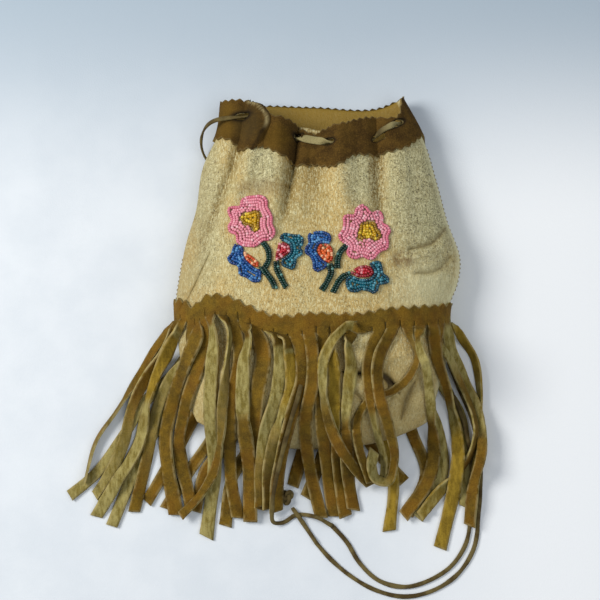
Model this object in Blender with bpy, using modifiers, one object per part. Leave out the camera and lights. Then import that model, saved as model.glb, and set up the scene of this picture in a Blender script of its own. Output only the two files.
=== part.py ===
# A beaded hide pouch with a suede collar, a cut suede fringe and a leather drawstring, lying on its back.
# Metres, +Z up, +Y towards the mouth. Tables of places are in millimetres on the floor plan.
import bpy
import numpy as np
from mathutils import Matrix, Vector
from mathutils.bvhtree import BVHTree

MM = 0.001

# Leather and thread
HIDE = 0.0015
SUEDE = 0.0013
LACE = 0.0028
THREAD = 0.0012
BEADS = 0.0019
GAP = 0.0003

# Body of the pouch, its width between the side seams and its length from the bottom seam to the rim
BODY_WIDE = 0.176
BODY_LONG = 0.228
SEAM_HEIGHT = 0.013
BODY_HEIGHT = 0.047
MOUTH_HEIGHT = 0.026
BOTTOM_ROUND = 0.042
BACK_ROUND = 0.020
PANEL_RUN = 0.9 * BODY_LONG
NECK_LIFT = HIDE + SUEDE + LACE + 2 * GAP
BAND_LIFT = HIDE + SUEDE + GAP

# The tables of places below are drawn for a body of this width and length, in mm
DRAWN_WIDE = 176
DRAWN_LONG = 228
WIDE = BODY_WIDE / MM / DRAWN_WIDE
LONG = BODY_LONG / MM / DRAWN_LONG

# Edges of the two panels, as (y, x) from the bottom to the mouth
LEFT_EDGE = ((-64, -52), (-53, -57), (-35, -61), (-13, -64), (13, -66), (49, -62), (70, -55), (102, -49),
             (123, -42), (146, -39))
RIGHT_EDGE = ((-64, 93), (-44, 99), (-19, 106), (11, 107), (24, 112), (38, 114), (65, 107), (91, 101),
              (123, 93), (146, 79))
BOTTOM_SAG = 0.017
# Rims of the mouth, as (across from -1 to 1, y)
FRONT_RIM = ((-1, 143), (-0.71, 139), (-0.5, 129), (-0.18, 126), (0, 123), (0.21, 123), (0.61, 129),
             (0.82, 130), (1, 147))
BACK_RIM = ((-1, 143), (-0.6, 144), (0, 143), (0.8, 143), (1, 147))
# Folds of the front, each a depth and a width in mm and its line as (y, x, strength)
FOLDS = (
    (-7.0, 4.5, ((30, -51, 0), (52, -46, 0.6), (80, -37, 1), (105, -29, 1), (150, -20, 0.6))),
    (3.0, 5.0, ((30, -42, 0), (55, -38, 0.7), (98, -20, 1), (150, -12, 0.6))),
    (-9.0, 4.0, ((45, 0, 0), (60, 2, 0.25), (80, 5, 0.7), (100, 8, 1), (150, 12, 0.8))),
    (-6.0, 11.0, ((40, 18, 0), (80, 20, 0.6), (105, 21, 1), (150, 21, 1))),
    (3.0, 7.0, ((40, -4, 0), (90, -4, 1), (150, -2, 1))),
    (4.0, 6.5, ((40, 40, 0), (90, 39, 1), (150, 38, 1))),
    (-4.5, 5.0, ((40, 64, 0), (85, 63, 1), (150, 60, 1))),
    (2.0, 6.0, ((40, 80, 0), (85, 78, 1), (150, 74, 1))),
    (-3.0, 3.5, ((-75, 70, 0.4), (-60, 74, 1), (-44, 79, 0.8), (-30, 82, 0))),
)

# Collar and fringe
COLLAR_LOW = ((-1, 119), (-0.9, 118), (-0.68, 109), (-0.5, 110), (-0.33, 104), (-0.21, 99), (0, 98),
              (0.2, 98), (0.26, 102), (0.53, 105), (0.88, 109), (1, 117))
COLLAR_RISE = 0.002
COLLAR_BACK_LOW = 0.118
PINK_DEPTH = 0.0022
BAND_TOP = ((-1, 8), (-0.85, 6), (-0.76, 12), (-0.62, 12), (-0.45, 5), (-0.33, 0), (0, 0), (0.4, 1),
            (0.55, 4), (0.75, 6), (1, 6))
BAND_DEEP = 0.0135
STRIP_WIDE = 0.0074
SLIT = 0.0005
STRIPS = 27
STRIP_STEP = 0.013
BACK_BAND_TOP = 0.003
BACK_STRIP_PITCH = 0.0105
BACK_STRIP_FIRST = -0.054

# Lace holes in the collar, as (across, y), left to right, and the one at the back
LACE_HOLES = ((-0.75, 132.5), (-0.26, 117), (0.11, 116), (0.53, 117.4), (0.79, 127))
BACK_HOLE = (-0.68, 127)
HOLE_LONG = 0.0108
HOLE_WIDE = LACE + 6 * GAP

# Routes of the cut strips from the front band, by place along it, each after the ones it lies on
FRONT_STRIPS = (
    ("0", ((-80, -16), (-92, -37), (-105, -58), (-117, -76), (-124, -104))),
    ("1", ((-75, -20), (-85, -33), (-95, -54), (-100, -76), (-108, -95), (-118, -111))),
    ("3", ((-58, -26), (-70, -36), (-79, -56), (-84, -80), (-89, -103), (-93, -121))),
    ("2", ((-68, -13), (-78, -30), (-85, -54), (-90, -78), (-103, -101), (-117, -124))),
    ("5", ((-50, -36), (-60, -56), (-65, -77), (-63, -92), (-59, -107), (-57, -117))),
    ("4", ((-56, -36), (-67, -48), (-73, -71), (-71, -95), (-66, -123))),
    ("8", ((-27, -28), (-31, -52), (-32, -78), (-31, -104), (-27, -125))),
    ("6", ((-43, -14), (-46.5, -38), (-46, -66), (-43, -92), (-44.5, -117), (-47, -137))),
    ("7", ((-34, -12), (-37.5, -32), (-40, -56), (-39.5, -80), (-43, -98), (-52, -113), (-63, -124))),
    ("10", ((-10, -28), (-13, -50), (-16, -74), (-17, -98), (-16, -119))),
    ("9", ((-19, -16), (-22.5, -32), (-24, -48), (-22, -68), (-19.5, -92), (-19, -127))),
    ("11", ((-5, -14), (-2, -27), (-4, -46), (-9.5, -70), (-13, -96), (-13, -118))),
    ("12", ((2, -16), (5.5, -30), (5, -48), (-0.5, -69), (-7, -93), (-7.5, -119))),
    ("13", ((12.5, -22), (13, -42), (6.5, -65), (0.5, -88), (-2.5, -104), (-3, -121))),
    ("15", ((26, -24), (24.5, -42), (26, -68), (30, -96), (34, -124))),
    ("14", ((20, -26), (20, -44), (15.5, -68), (19, -96), (26, -125))),
    ("17", ((36, -18), (33.5, -40), (33.5, -66), (37, -97), (41, -124))),
    ("18", ((43, -18), (43.5, -36), (41, -62), (42, -94), (46, -120))),
    ("16", ((35, -14), (27.5, -28), (27, -50), (33, -74), (45, -93), (57, -104))),
    ("21", ((82, -16), (86, -27), (81, -39), (69, -49), (55, -55), (48, -66), (48.5, -80), (57, -103))),
    ("19", ((54, -34), (56, -55), (60, -72), (66, -90), (66, -102))),
    ("22", ((86, -18), (91.5, -38), (95.5, -62), (98, -84), (93, -103), (78, -124))),
    ("26", ((115, -8), (124, -20), (128, -40), (128, -60), (126, -78), (123, -96))),
    ("25", ((107, -18), (117, -36), (126, -57), (128, -80), (123, -102), (120, -130))),
    ("24", ((99, -14), (109, -30), (118, -47), (123, -63), (122, -80), (113, -96), (102, -107), (88, -124))),
    ("20", ((60, -32), (61, -53), (68, -72), (72, -90), (68, -103), (60, -101), (57, -92), (59, -84))),
    ("23", ((98, -26), (107, -48), (113, -73), (110.5, -104), (101, -144))),
)
# Routes of the strips from the back band, left to right
BACK_STRIPS = (
    ((-68, -32), (-88, -52), (-100, -72), (-118, -97), (-134, -111)),
    ((-60, -40), (-76, -62), (-89, -86), (-107, -130)),
    ((-46, -42), (-60, -70), (-73, -94), (-85, -115)),
    ((-31, -42), (-43, -72), (-60, -98), (-73, -119)),
    ((-17, -42), (-30, -72), (-48, -96), (-54, -121)),
    ((-4, -42), (-16, -74), (-31, -100), (-35, -130)),
    ((9, -42), (2, -76), (-8, -98), (-15, -114)),
    ((19, -42), (15, -78), (8, -105)),
    ((30, -42), (28, -80), (16, -112)),
    ((41, -42), (42, -76), (54, -100)),
    ((52, -42), (55, -74), (68, -90), (79, -102)),
    ((63, -42), (68, -72), (72, -104), (69, -133)),
    ((76, -40), (84, -70), (93, -98), (81, -123)),
    ((88, -38), (99, -64), (103, -96), (87, -125)),
    ((101, -34), (115, -60), (118, -90), (117, -118)),
)

# Route of the lace, as (x, y) on the floor: under the neck, down the right side and round the tail loop
TAIL_ONE = ((-47, 107), (-36, 109), (-20, 113), (0, 116), (40, 117), (76, 104), (94, 88), (101, 60), (104, 38), (101, 18),
            (99, 0), (101.5, -20), (107, -38), (116, -60), (121, -84), (121, -120), (117, -142), (108, -155),
            (96, -163), (78, -168), (62, -164), (50, -153), (42, -140), (33, -130))
TAIL_TWO = ((-22, 126), (20, 125), (60, 119), (84, 104), (99, 88), (106, 60), (109, 38), (106, 18),
            (104, 0), (107, -20), (113, -38), (122, -60), (127, -86), (126, -121), (122, -145), (112, -160),
            (99, -169), (78, -174), (60, -170), (44, -161), (31, -150), (23, -141))
# The ends of the lace, over the front strips
END_ONE = ((33, -130), (21, -124), (10, -123), (1, -128), (-4, -128), (-5, -118), (-3, -104), (1, -88), (6, -70), (11, -54),
           (13, -46))
END_TWO = ((23, -141), (17, -132), (10, -122), (7.5, -118.5))
# How the lace climbs from the floor at the left of the neck to the collar, as (x, y, z)
CLIMB = ((-50.5, 111, 4), (-52.5, 118, 10), (-50.5, 125, 17), (-45.5, 129, 23))

# Beadwork outlines on the front, each as (x, y)
ROSE_LEFT = ((-24.4, 74.5), (-21, 75.9), (-16.6, 76.2), (-12.1, 76.2), (-9.2, 74.9), (-7.3, 72.2), (-7.1, 68.4),
             (-5.6, 64.6), (-4.3, 60.8), (-4.5, 56.3), (-3.2, 51.8), (-3.5, 48), (-6.1, 45.7), (-9.8, 45.3),
             (-12.4, 43.5), (-15.3, 41.3), (-19.4, 41.6), (-23.8, 42.7), (-26.8, 45.3), (-27.5, 49.9), (-31.6, 51.8),
             (-32.9, 55.5), (-31.3, 60.1), (-33.2, 64.6), (-32.9, 68.4), (-29.9, 70), (-25.8, 70), (-25.3, 73))
ROSE_LEFT_HEART = ((-23.6, 63.5), (-19.5, 64.6), (-13.6, 65.4), (-12.1, 62.4), (-12.4, 57.8), (-13.1, 53.3),
                   (-16.1, 51.8), (-17.6, 54.8), (-21.7, 56.3), (-24.5, 60.1))
ROSE_RIGHT = ((51.7, 69.6), (54.6, 67.7), (56.8, 64.6), (60.5, 66.2), (64.2, 64.3), (65.7, 60.8), (64.9, 57.8),
              (68.6, 55.5), (69.7, 52.5), (67.8, 48), (68.1, 44.2), (67, 39.7), (63.3, 38.2), (60.7, 35.9),
              (58.8, 33.4), (55.1, 32.9), (51.4, 34.4), (47.7, 33.3), (44.1, 33.7), (41.1, 37.4), (41.9, 40.8),
              (37.5, 45), (36.4, 48.4), (38.6, 52.5), (39.4, 57.1), (39.4, 60.8), (42, 62.4), (45.3, 62.4),
              (46.5, 66.2), (49.1, 68.8))
ROSE_RIGHT_HEART = ((50.1, 56.3), (54.5, 57.8), (59, 57.1), (60.4, 53.3), (62.6, 49.9), (62.2, 46.8), (58.9, 45.7),
                    (55.9, 46.8), (53, 46.5), (49.7, 45.3), (48.6, 48), (49.7, 52.5))
BUD_LEFT_BLUE = ((-28.2, 43.8), (-24.9, 43.1), (-22.3, 40.1), (-22.5, 37.4), (-21.4, 34), (-18.6, 30.7), (-15.2, 27.8),
                 (-11.8, 26.3), (-11.3, 23.2), (-12.3, 19), (-15.6, 18.5), (-20.7, 21.7), (-24.8, 23.9), (-25.9, 28.4),
                 (-30.7, 31.4), (-32.5, 35.2), (-30.4, 38.2), (-29.7, 41.2))
BUD_LEFT_ORANGE = ((-22.3, 38.8), (-19.7, 37.4), (-16.4, 35.2), (-13.8, 32.2), (-12.1, 28.6), (-14.9, 28.6),
                   (-18.6, 31), (-21.4, 34.4))
BUD_LEFT_TEAL = ((0.5, 48.7), (3.5, 50.2), (7.9, 49.3), (12.4, 48.7), (14.4, 46.5), (14.3, 42.3), (13.2, 40.4),
                 (14.2, 38.2), (13.8, 35.9), (10.9, 33.7), (10.2, 29.9), (8.7, 26.5), (4.6, 27.3), (1.3, 29.5),
                 (0.6, 32.6), (3.5, 34.6), (6.5, 38.2), (6.1, 41.9), (2.8, 44.4), (-0.2, 45))
BUD_LEFT_RED = ((-0.9, 43.8), (2.8, 44.2), (5.7, 42.3), (6.6, 38.9), (3.5, 35.5), (0.6, 33.3), (-2, 32.2), (-2.7, 35.2),
                (-1.7, 39.7))
BUD_RIGHT_BLUE = ((18.3, 50.2), (22.7, 51.4), (27.9, 51.2), (31.6, 49.1), (32.3, 45.7), (30.5, 43.1), (27.1, 43.1),
                  (24.2, 41.9), (22.8, 38.9), (24.2, 35.9), (26.7, 32.5), (29.3, 30.3), (28.9, 28), (26, 25.8),
                  (22.7, 24.7), (20.5, 26.9), (20.1, 31.4), (18.6, 34.4), (15.9, 36.7), (15.3, 40.4), (17.5, 43.1),
                  (17.2, 47.2))
BUD_RIGHT_ORANGE = ((24.9, 42.3), (28.2, 43.1), (31.9, 41.2), (33, 37.4), (32.9, 33.7), (31.5, 30.7), (28.6, 31.4),
                    (25.6, 34.4), (23.3, 38.9))
BUD_RIGHT_TEAL = ((55.8, 30.3), (58.8, 32.2), (62.5, 32.2), (63.9, 28.4), (64.2, 24.7), (67.5, 22), (67.5, 19.4),
                  (63.8, 17.5), (61.6, 17.2), (60.8, 13.4), (57.9, 11.2), (54.2, 12.7), (50.2, 13.1), (46.9, 11.9),
                  (42.5, 13.1), (40.7, 16.4), (41, 20.9), (44, 22.6), (47.7, 21.3), (52.8, 21.1), (56.9, 22.3),
                  (58.1, 25), (56.9, 28))
BUD_RIGHT_RED = ((44, 24.3), (45.9, 26.9), (49.9, 28.8), (54.3, 29.2), (56.9, 27.3), (58, 24.7), (56.1, 22.3),
                 (51.3, 21.5), (46.9, 22.3))
STEMS_LEFT = (((-9.4, 43), (-7.9, 41), (-6.8, 37.4), (-6.8, 32.9), (-8.4, 29.9)),
              ((-9.4, 26), (-8.2, 23.9), (-5.3, 20.2), (-3.4, 15.6)),
              ((-1.7, 29.8), (-1.6, 26.9), (0.5, 21.7), (3.7, 16.1)))
STEMS_RIGHT = (((39.6, 40.6), (37.4, 37.4), (35.9, 32.4), (36.2, 28.6)),
               ((32, 27.6), (31.8, 24.7), (29.8, 19.4), (26.7, 14.9)),
               ((40.4, 22.8), (39.2, 22.2), (36.2, 18.4), (33.2, 12.6)))
STEM_WIDE = 0.0042

RESULT = "beaded_pouch"
COLOURS = {
    "hide": (0.68, 0.56, 0.32), "suede": (0.16, 0.10, 0.035), "fringe": (0.22, 0.14, 0.04),
    "lace": (0.26, 0.21, 0.10), "thread": (0.62, 0.52, 0.32), "pink": (0.72, 0.28, 0.30),
    "yellow": (0.62, 0.38, 0.01), "blue": (0.01, 0.09, 0.32), "teal": (0.01, 0.12, 0.18),
    "red": (0.36, 0.005, 0.02), "orange": (0.55, 0.11, 0.01), "green": (0.01, 0.05, 0.03),
}


def clear_scene():
    """Remove whatever the file opens with."""
    for thing in list(bpy.data.objects):
        bpy.data.objects.remove(thing, do_unlink=True)


def material(name, rough=0.85):
    """One plain surface in a named colour."""
    made = bpy.data.materials.new(name)
    made.use_nodes = True
    shader = made.node_tree.nodes["Principled BSDF"]
    shader.inputs["Base Color"].default_value = (*COLOURS[name], 1)
    shader.inputs["Roughness"].default_value = rough
    shader.inputs["Metallic"].default_value = 0.0
    return made


def add_mesh(name, points, faces, colour):
    """A named object from points and faces, with consistent outward faces."""
    mesh = bpy.data.meshes.new(name)
    mesh.from_pydata([tuple(p) for p in points], [], [tuple(f) for f in faces])
    mesh.validate()
    thing = bpy.data.objects.new(name, mesh)
    POUCH.objects.link(thing)
    mesh.materials.append(PAINT[colour])
    return thing


def thicken(thing, thickness, outward=1):
    """Give a sheet its thickness on one side of its faces."""
    solid = thing.modifiers.new("Thickness", "SOLIDIFY")
    solid.thickness = thickness
    solid.offset = outward
    solid.use_even_offset = False
    return solid


def curve_through(table):
    """A smooth function through (place, value) pairs, flat beyond its ends."""
    place, value = np.array(table, float).T
    slope = np.gradient(value, place)

    def at(where):
        where = np.clip(where, place[0], place[-1])
        i = np.clip(np.searchsorted(place, where) - 1, 0, len(place) - 2)
        step = place[i + 1] - place[i]
        t = (where - place[i]) / step
        ends = (1 + 2 * t) * (1 - t) ** 2 * value[i] + t * t * (3 - 2 * t) * value[i + 1]
        return ends + step * (t * (1 - t) ** 2 * slope[i] - t * t * (1 - t) * slope[i + 1])
    return at


def spline(points, count):
    """count points, evenly spaced, along a smooth line through the given ones."""
    points = np.array(points, float)
    run = np.concatenate([[0], np.cumsum(np.linalg.norm(np.diff(points, axis=0), axis=1))])
    fine = np.linspace(0, run[-1], 12 * len(points))
    dense = np.stack([curve_through(np.stack([run, column], 1))(fine) for column in points.T], 1)
    length = np.concatenate([[0], np.cumsum(np.linalg.norm(np.diff(dense, axis=0), axis=1))])
    even = np.linspace(0, length[-1], count)
    return np.stack([np.interp(even, length, column) for column in dense.T], 1)


def fit(rows, order="xy"):
    """Rows of a drawn table at the pouch's own width, x, and length, y."""
    size = {"x": WIDE, "y": LONG, "-": 1}
    return np.array(rows, float) * [size[axis] for axis in order]


left_edge = curve_through(fit(LEFT_EDGE, "yx"))
right_edge = curve_through(fit(RIGHT_EDGE, "yx"))
front_rim = curve_through(fit(FRONT_RIM, "-y"))
back_rim = curve_through(fit(BACK_RIM, "-y"))
collar_low = curve_through(fit(COLLAR_LOW, "-y"))
band_top = curve_through(fit(BAND_TOP, "-y"))
top_height = curve_through(fit(((-90, 0.77 * BODY_HEIGHT / MM), (-45, 0.96 * BODY_HEIGHT / MM), (0, BODY_HEIGHT / MM),
                                (45, 0.92 * BODY_HEIGHT / MM), (90, MOUTH_HEIGHT / MM + 8),
                                (120, MOUTH_HEIGHT / MM + 2), (150, MOUTH_HEIGHT / MM)), "y-"))
FOLD_LINES = [(depth, wide * WIDE, curve_through(fit(line, "yx-")[:, :2]), curve_through(fit(line, "yx-")[:, ::2]))
              for depth, wide, line in FOLDS]


def bottom_edge(across):
    """y of the bottom seam in mm, lowest in the middle."""
    return LEFT_EDGE[0][0] * LONG - BOTTOM_SAG / MM * (1 - np.abs(across) ** 2.4)


def plan(across, along, rim):
    """Floor place in mm for across from -1 to 1 and along from the bottom, 0, to the rim, 1."""
    low = bottom_edge(across)
    y = low + (rim(across) - low) * along
    x_left = left_edge(y)
    x_right = right_edge(y)
    return (x_left + x_right) / 2 + across * (x_right - x_left) / 2, y


def crown(across, along, span=2.6, power=0.55):
    """Height share of the puffed front: nought at the side and bottom seams, one over the middle."""
    side = (1 - np.minimum(np.abs(across), 1) ** span) ** power
    reach = np.clip(along * PANEL_RUN / BOTTOM_ROUND, 0, 1)
    return side * (1 - (1 - reach) ** 2.4) ** power


def fold_height(x, y):
    """Sum of the folds, each a valley or ridge of bell section about its line."""
    total = 0
    for depth, wide, line, strength in FOLD_LINES:
        total = total + depth * strength(y) * np.exp(-((x - line(y)) / wide) ** 2)
    return total


def front_inside(across, along):
    """Inner face of the front panel, in metres."""
    across, along = np.broadcast_arrays(across, along)
    x, y = plan(across, along, front_rim)
    rise = crown(across, along)
    seam = (SEAM_HEIGHT + GAP / 2) / MM
    z = seam + (top_height(y) - seam + fold_height(x, y)) * rise
    return np.stack([x, y, z], -1) * MM


def lift(y):
    """Height of the back panel's inner face over the floor, in mm."""
    neck = np.clip((y / LONG - 64) / 20, 0, 1)
    band = np.clip((24 - y / LONG) / 16, 0, 1)
    neck = neck * neck * (3 - 2 * neck)
    band = band * band * (3 - 2 * band)
    return (HIDE + neck * (NECK_LIFT - HIDE) + band * (BAND_LIFT - HIDE)) / MM


def back_inside(across, along):
    """Inner face of the back panel, flat on the floor but for its turned-up sides, in metres."""
    across, along = np.broadcast_arrays(across, along)
    x, y = plan(across, along, back_rim)
    side = (1 - np.clip((np.abs(across) - 0.45) / 0.55, 0, 1) ** 3) ** 0.5
    end = (1 - (1 - np.clip(along * PANEL_RUN / BACK_ROUND, 0, 1)) ** 3) ** 0.5
    seam = (SEAM_HEIGHT - GAP / 2) / MM
    z = seam - (seam - lift(y)) * side * end
    return np.stack([x, y, z], -1) * MM


def outward(face, across, along, sign):
    """Unit normal of a panel's face, out of the pouch."""
    across = np.clip(across, -0.998, 0.998)
    along = np.maximum(along, 0.002)
    step = 0.0015
    d_across = face(across + step, along) - face(across - step, along)
    d_along = face(across, along + step) - face(across, along - step)
    normal = np.cross(d_across, d_along) * sign
    return normal / np.linalg.norm(normal, axis=-1, keepdims=True)


def offset(face, across, along, distance, sign):
    """A panel's face moved out of the pouch by a distance."""
    across, along = np.broadcast_arrays(across, along)
    return face(across, along) + outward(face, across, along, sign) * np.asarray(distance)[..., None]


def along_at(across, y, rim):
    """The along value that lands on y, in mm."""
    low = bottom_edge(across)
    return (y - low) / (rim(across) - low)


def strip_stations():
    """Places across the front, even along its skin at the fringe band, one for each slit and end."""
    fine = np.linspace(-1, 1, 801)
    skin = front_inside(fine, along_at(fine, np.full(801, -10.0 * LONG), front_rim))
    run = np.concatenate([[0], np.cumsum(np.linalg.norm(np.diff(skin, axis=0), axis=1))])
    return np.interp(np.linspace(0, run[-1], STRIPS + 1), run, fine)


def grid_faces(rows, columns, closed=False):
    """Quads of a grid stored row by row, closed round its columns if asked."""
    last = columns if closed else columns - 1
    return [(r * columns + c, r * columns + (c + 1) % columns,
             (r + 1) * columns + (c + 1) % columns, (r + 1) * columns + c)
            for r in range(rows - 1) for c in range(last)]


def front_rows():
    """y of every grid row of the front at each station: bottom, band, open front, collar and rim, in mm."""
    low, rim = bottom_edge(STATIONS), front_rim(STATIONS)
    band = band_top(STATIONS)
    cuff = collar_low(STATIONS)
    slits = band - BAND_DEEP / MM
    round_end = [low + (slits - low) * s for s in (0, 0.03, 0.1, 0.2, 0.32, 0.46, 0.62, 0.8)]
    band_rows = [band - BAND_DEEP / MM * s for s in (1, 0.5, 0)]
    open_rows = [band + (cuff - band) * s for s in np.linspace(0, 1, 11)[1:-1]]
    cuff_rows = [cuff + (rim - cuff) * s for s in (0, 0.25, 0.5, 0.75, 1)]
    return np.array(round_end + band_rows + open_rows + cuff_rows)


def back_rows():
    """y of every grid row of the back at each station, in mm."""
    low, rim = bottom_edge(STATIONS), back_rim(STATIONS)
    cuff = np.full(len(STATIONS), COLLAR_BACK_LOW / MM * LONG)
    flat = 24 * LONG
    ends = [low + (flat - low) * s for s in (0, 0.03, 0.1, 0.25, 0.45, 0.6, 0.72, 0.84, 1)]
    middle = [flat + (cuff - flat) * s for s in (0.21, 0.42, 0.5, 0.58, 0.67, 0.8, 1)]
    return np.array(ends + middle + [cuff + (rim - cuff) * s for s in (0.5, 1)])


class Panel:
    """One hide panel: a thickened grid, and the skin that other pieces lie on."""

    def __init__(self, name, face, rim, rows, sign):
        self.rows = rows
        points = face(STATIONS[None, :], along_at(STATIONS[None, :], rows, rim))
        faces = grid_faces(*rows.shape)
        if sign < 0:
            faces = [f[::-1] for f in faces]
        self.thing = add_mesh(name, points.reshape(-1, 3), faces, "hide")
        thicken(self.thing, HIDE)
        made = self.thing.evaluated_get(bpy.context.evaluated_depsgraph_get()).data
        both = np.empty(3 * len(made.vertices))
        made.vertices.foreach_get("co", both)
        both = both.reshape(2, *points.shape)
        away = [np.abs(side - points).max() for side in both]
        self.inner = points
        self.skin = both[int(np.argmax(away))]
        self.away = (self.skin - self.inner) / HIDE

    def over(self, station, y, distance):
        """A point off the skin on the grid line of a station, where that line passes y in mm."""
        place = np.interp(y, self.rows[:, station], np.arange(len(self.rows)))
        beyond = (y - self.rows[-1, station]) * MM if y > self.rows[-1, station] else 0
        low = min(int(place), len(self.rows) - 2)
        part = place - low
        skin = self.skin[low, station] * (1 - part) + self.skin[low + 1, station] * part
        away = self.away[low, station] * (1 - part) + self.away[low + 1, station] * part
        return skin + away * distance + np.array((0, beyond, 0))


def collar():
    """The suede band round the mouth, outside both panels, pinked along its lower edge."""
    count = len(STATIONS)
    tooth = np.where(np.arange(count) % 2 == 0, 0, PINK_DEPTH / MM)
    cuff = collar_low(STATIONS)
    rim, behind = front_rim(STATIONS), back_rim(STATIONS)
    low_back = COLLAR_BACK_LOW / MM * LONG
    rows = []
    for share in (0, 0.25, 0.5, 0.75, 1):
        ring = []
        for k in range(count):
            y = cuff[k] + (rim[k] - cuff[k]) * share
            y += COLLAR_RISE / MM if share == 1 else -tooth[k] if share == 0 else 0
            ring.append(FRONT.over(k, y, GAP))
        for k in range(count - 2, 0, -1):
            y = low_back + (behind[k] - low_back) * share
            y += COLLAR_RISE / MM if share == 1 else -tooth[k] if share == 0 else 0
            ring.append(BACK.over(k, y, GAP))
        for k, sign in ((0, -1), (count - 1, 1)):
            behind_x = BACK.over(k, ring[k][1] / MM, GAP)[0]
            ring[k][0] = sign * (max(sign * ring[k][0], sign * behind_x) + 3 * GAP)
            ring[k][2] = SEAM_HEIGHT
        rows.append(ring)
    rows = np.array(rows)
    thing = add_mesh("collar", rows.reshape(-1, 3), grid_faces(rows.shape[0], rows.shape[1], True), "suede")
    thicken(thing, SUEDE)
    return thing


def drill(things, across, level, rim, face, sign):
    """Cut one slotted lace hole, long in the lace's own direction, through every given piece."""
    ends = [Vector(offset(face, a, float(along_at(a, level(a), rim)), HIDE, sign)) for a in (across - 0.03, across + 0.03)]
    middle = Vector(offset(face, across, float(along_at(across, level(across), rim)), HIDE, sign))
    normal = Vector(outward(face, across, float(along_at(across, level(across), rim)), sign))
    side = normal.cross(ends[1] - ends[0]).normalized()
    bpy.ops.mesh.primitive_cylinder_add(vertices=12, radius=HOLE_WIDE / 2, depth=0.012)
    cutter = bpy.context.object
    cutter.name = "lace_hole_cutter"
    cutter.scale = (HOLE_LONG / HOLE_WIDE, 1, 1)
    cutter.rotation_mode = "QUATERNION"
    cutter.rotation_quaternion = Matrix((side.cross(normal), side, normal)).transposed().to_quaternion()
    cutter.location = middle
    hide_cutter(cutter)
    for thing in things:
        cut_with(thing, cutter)


def hide_cutter(cutter):
    """Keep a cutting shape out of the model's own collection and renders."""
    cutter.display_type = "WIRE"
    cutter.hide_render = True
    for home in list(cutter.users_collection):
        home.objects.unlink(cutter)
    CUTTERS.objects.link(cutter)


def cut_with(thing, cutter, how="DIFFERENCE"):
    """Subtract a cutter from a piece, or keep only what is inside it."""
    cut = thing.modifiers.new("Cut", "BOOLEAN")
    cut.operation = how
    cut.solver = "EXACT"
    cut.object = cutter


class Heights:
    """The height of what lies on the floor, on a square grid over the plan, in mm."""

    def __init__(self, cell=0.5):
        self.cell = cell
        self.x0, self.y0 = -180.0 * WIDE, -215.0 * LONG
        self.z = np.zeros((int(360 * WIDE / cell), int(400 * LONG / cell)))

    def index(self, x, y):
        """Grid cell of each place, held inside the grid."""
        i = np.clip(((x - self.x0) / self.cell).astype(int), 0, self.z.shape[0] - 2)
        j = np.clip(((y - self.y0) / self.cell).astype(int), 0, self.z.shape[1] - 2)
        return i, j

    def at(self, x, y):
        """Height at each place, the highest of the four cells around it."""
        i, j = self.index(x - self.cell / 2, y - self.cell / 2)
        z = self.z
        return np.maximum(np.maximum(z[i, j], z[i + 1, j]), np.maximum(z[i, j + 1], z[i + 1, j + 1]))

    def raise_to(self, x, y, z):
        """Lift each cell to the height of what now covers it."""
        i, j = self.index(x, y)
        np.maximum.at(self.z, (i, j), z)

    def cover(self, thing, box):
        """Lift the grid inside a box to the top of a solid, by looking straight down on it."""
        tree = BVHTree.FromObject(thing, bpy.context.evaluated_depsgraph_get())
        down = Vector((0, 0, -1))
        for x in np.arange(box[0], box[1], self.cell):
            for y in np.arange(box[2], box[3], self.cell):
                hit = tree.ray_cast(Vector((x * MM, y * MM, 0.2)), down)[0]
                if hit:
                    i, j = self.index(np.array(x), np.array(y))
                    self.z[i, j] = max(self.z[i, j], hit.z / MM + GAP / MM)


def lean_of(heights, x, y, across_x, across_y, half):
    """Side slope of the ground under a strip, smoothed along it."""
    rise = heights.at(x + across_x * half, y + across_y * half) - heights.at(x - across_x * half, y - across_y * half)
    slope = np.clip(rise / (2 * half), -0.7, 0.7)
    return np.convolve(np.pad(slope, 6, mode="edge"), np.ones(13) / 13, mode="valid")


def settle(ground, run, fall=1.1):
    """A strip's height along its run: over the ground everywhere, and never falling faster than fall."""
    reach = np.abs(run[:, None] - run[None, :])
    held = (ground[None, :] - fall * reach).max(axis=1)
    soft = np.convolve(np.pad(held, 3, mode="edge"), np.ones(7) / 7, mode="valid")
    return np.maximum(soft, ground)


def rest_on_stations(height, share, count):
    """Station heights whose straight lines between them stay on or over the wanted height."""
    place = share * (count - 1)
    low = np.minimum(place.astype(int), count - 2)
    part = place - low
    level = np.interp(np.arange(count), place, height)
    for _ in range(60):
        short = height - (level[low] * (1 - part) + level[low + 1] * part)
        push = np.where(short > 0, short, 0)
        up = np.zeros(count)
        np.maximum.at(up, low, push * (1 - part))
        np.maximum.at(up, low + 1, push * part)
        level = level + up
    return level


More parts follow.
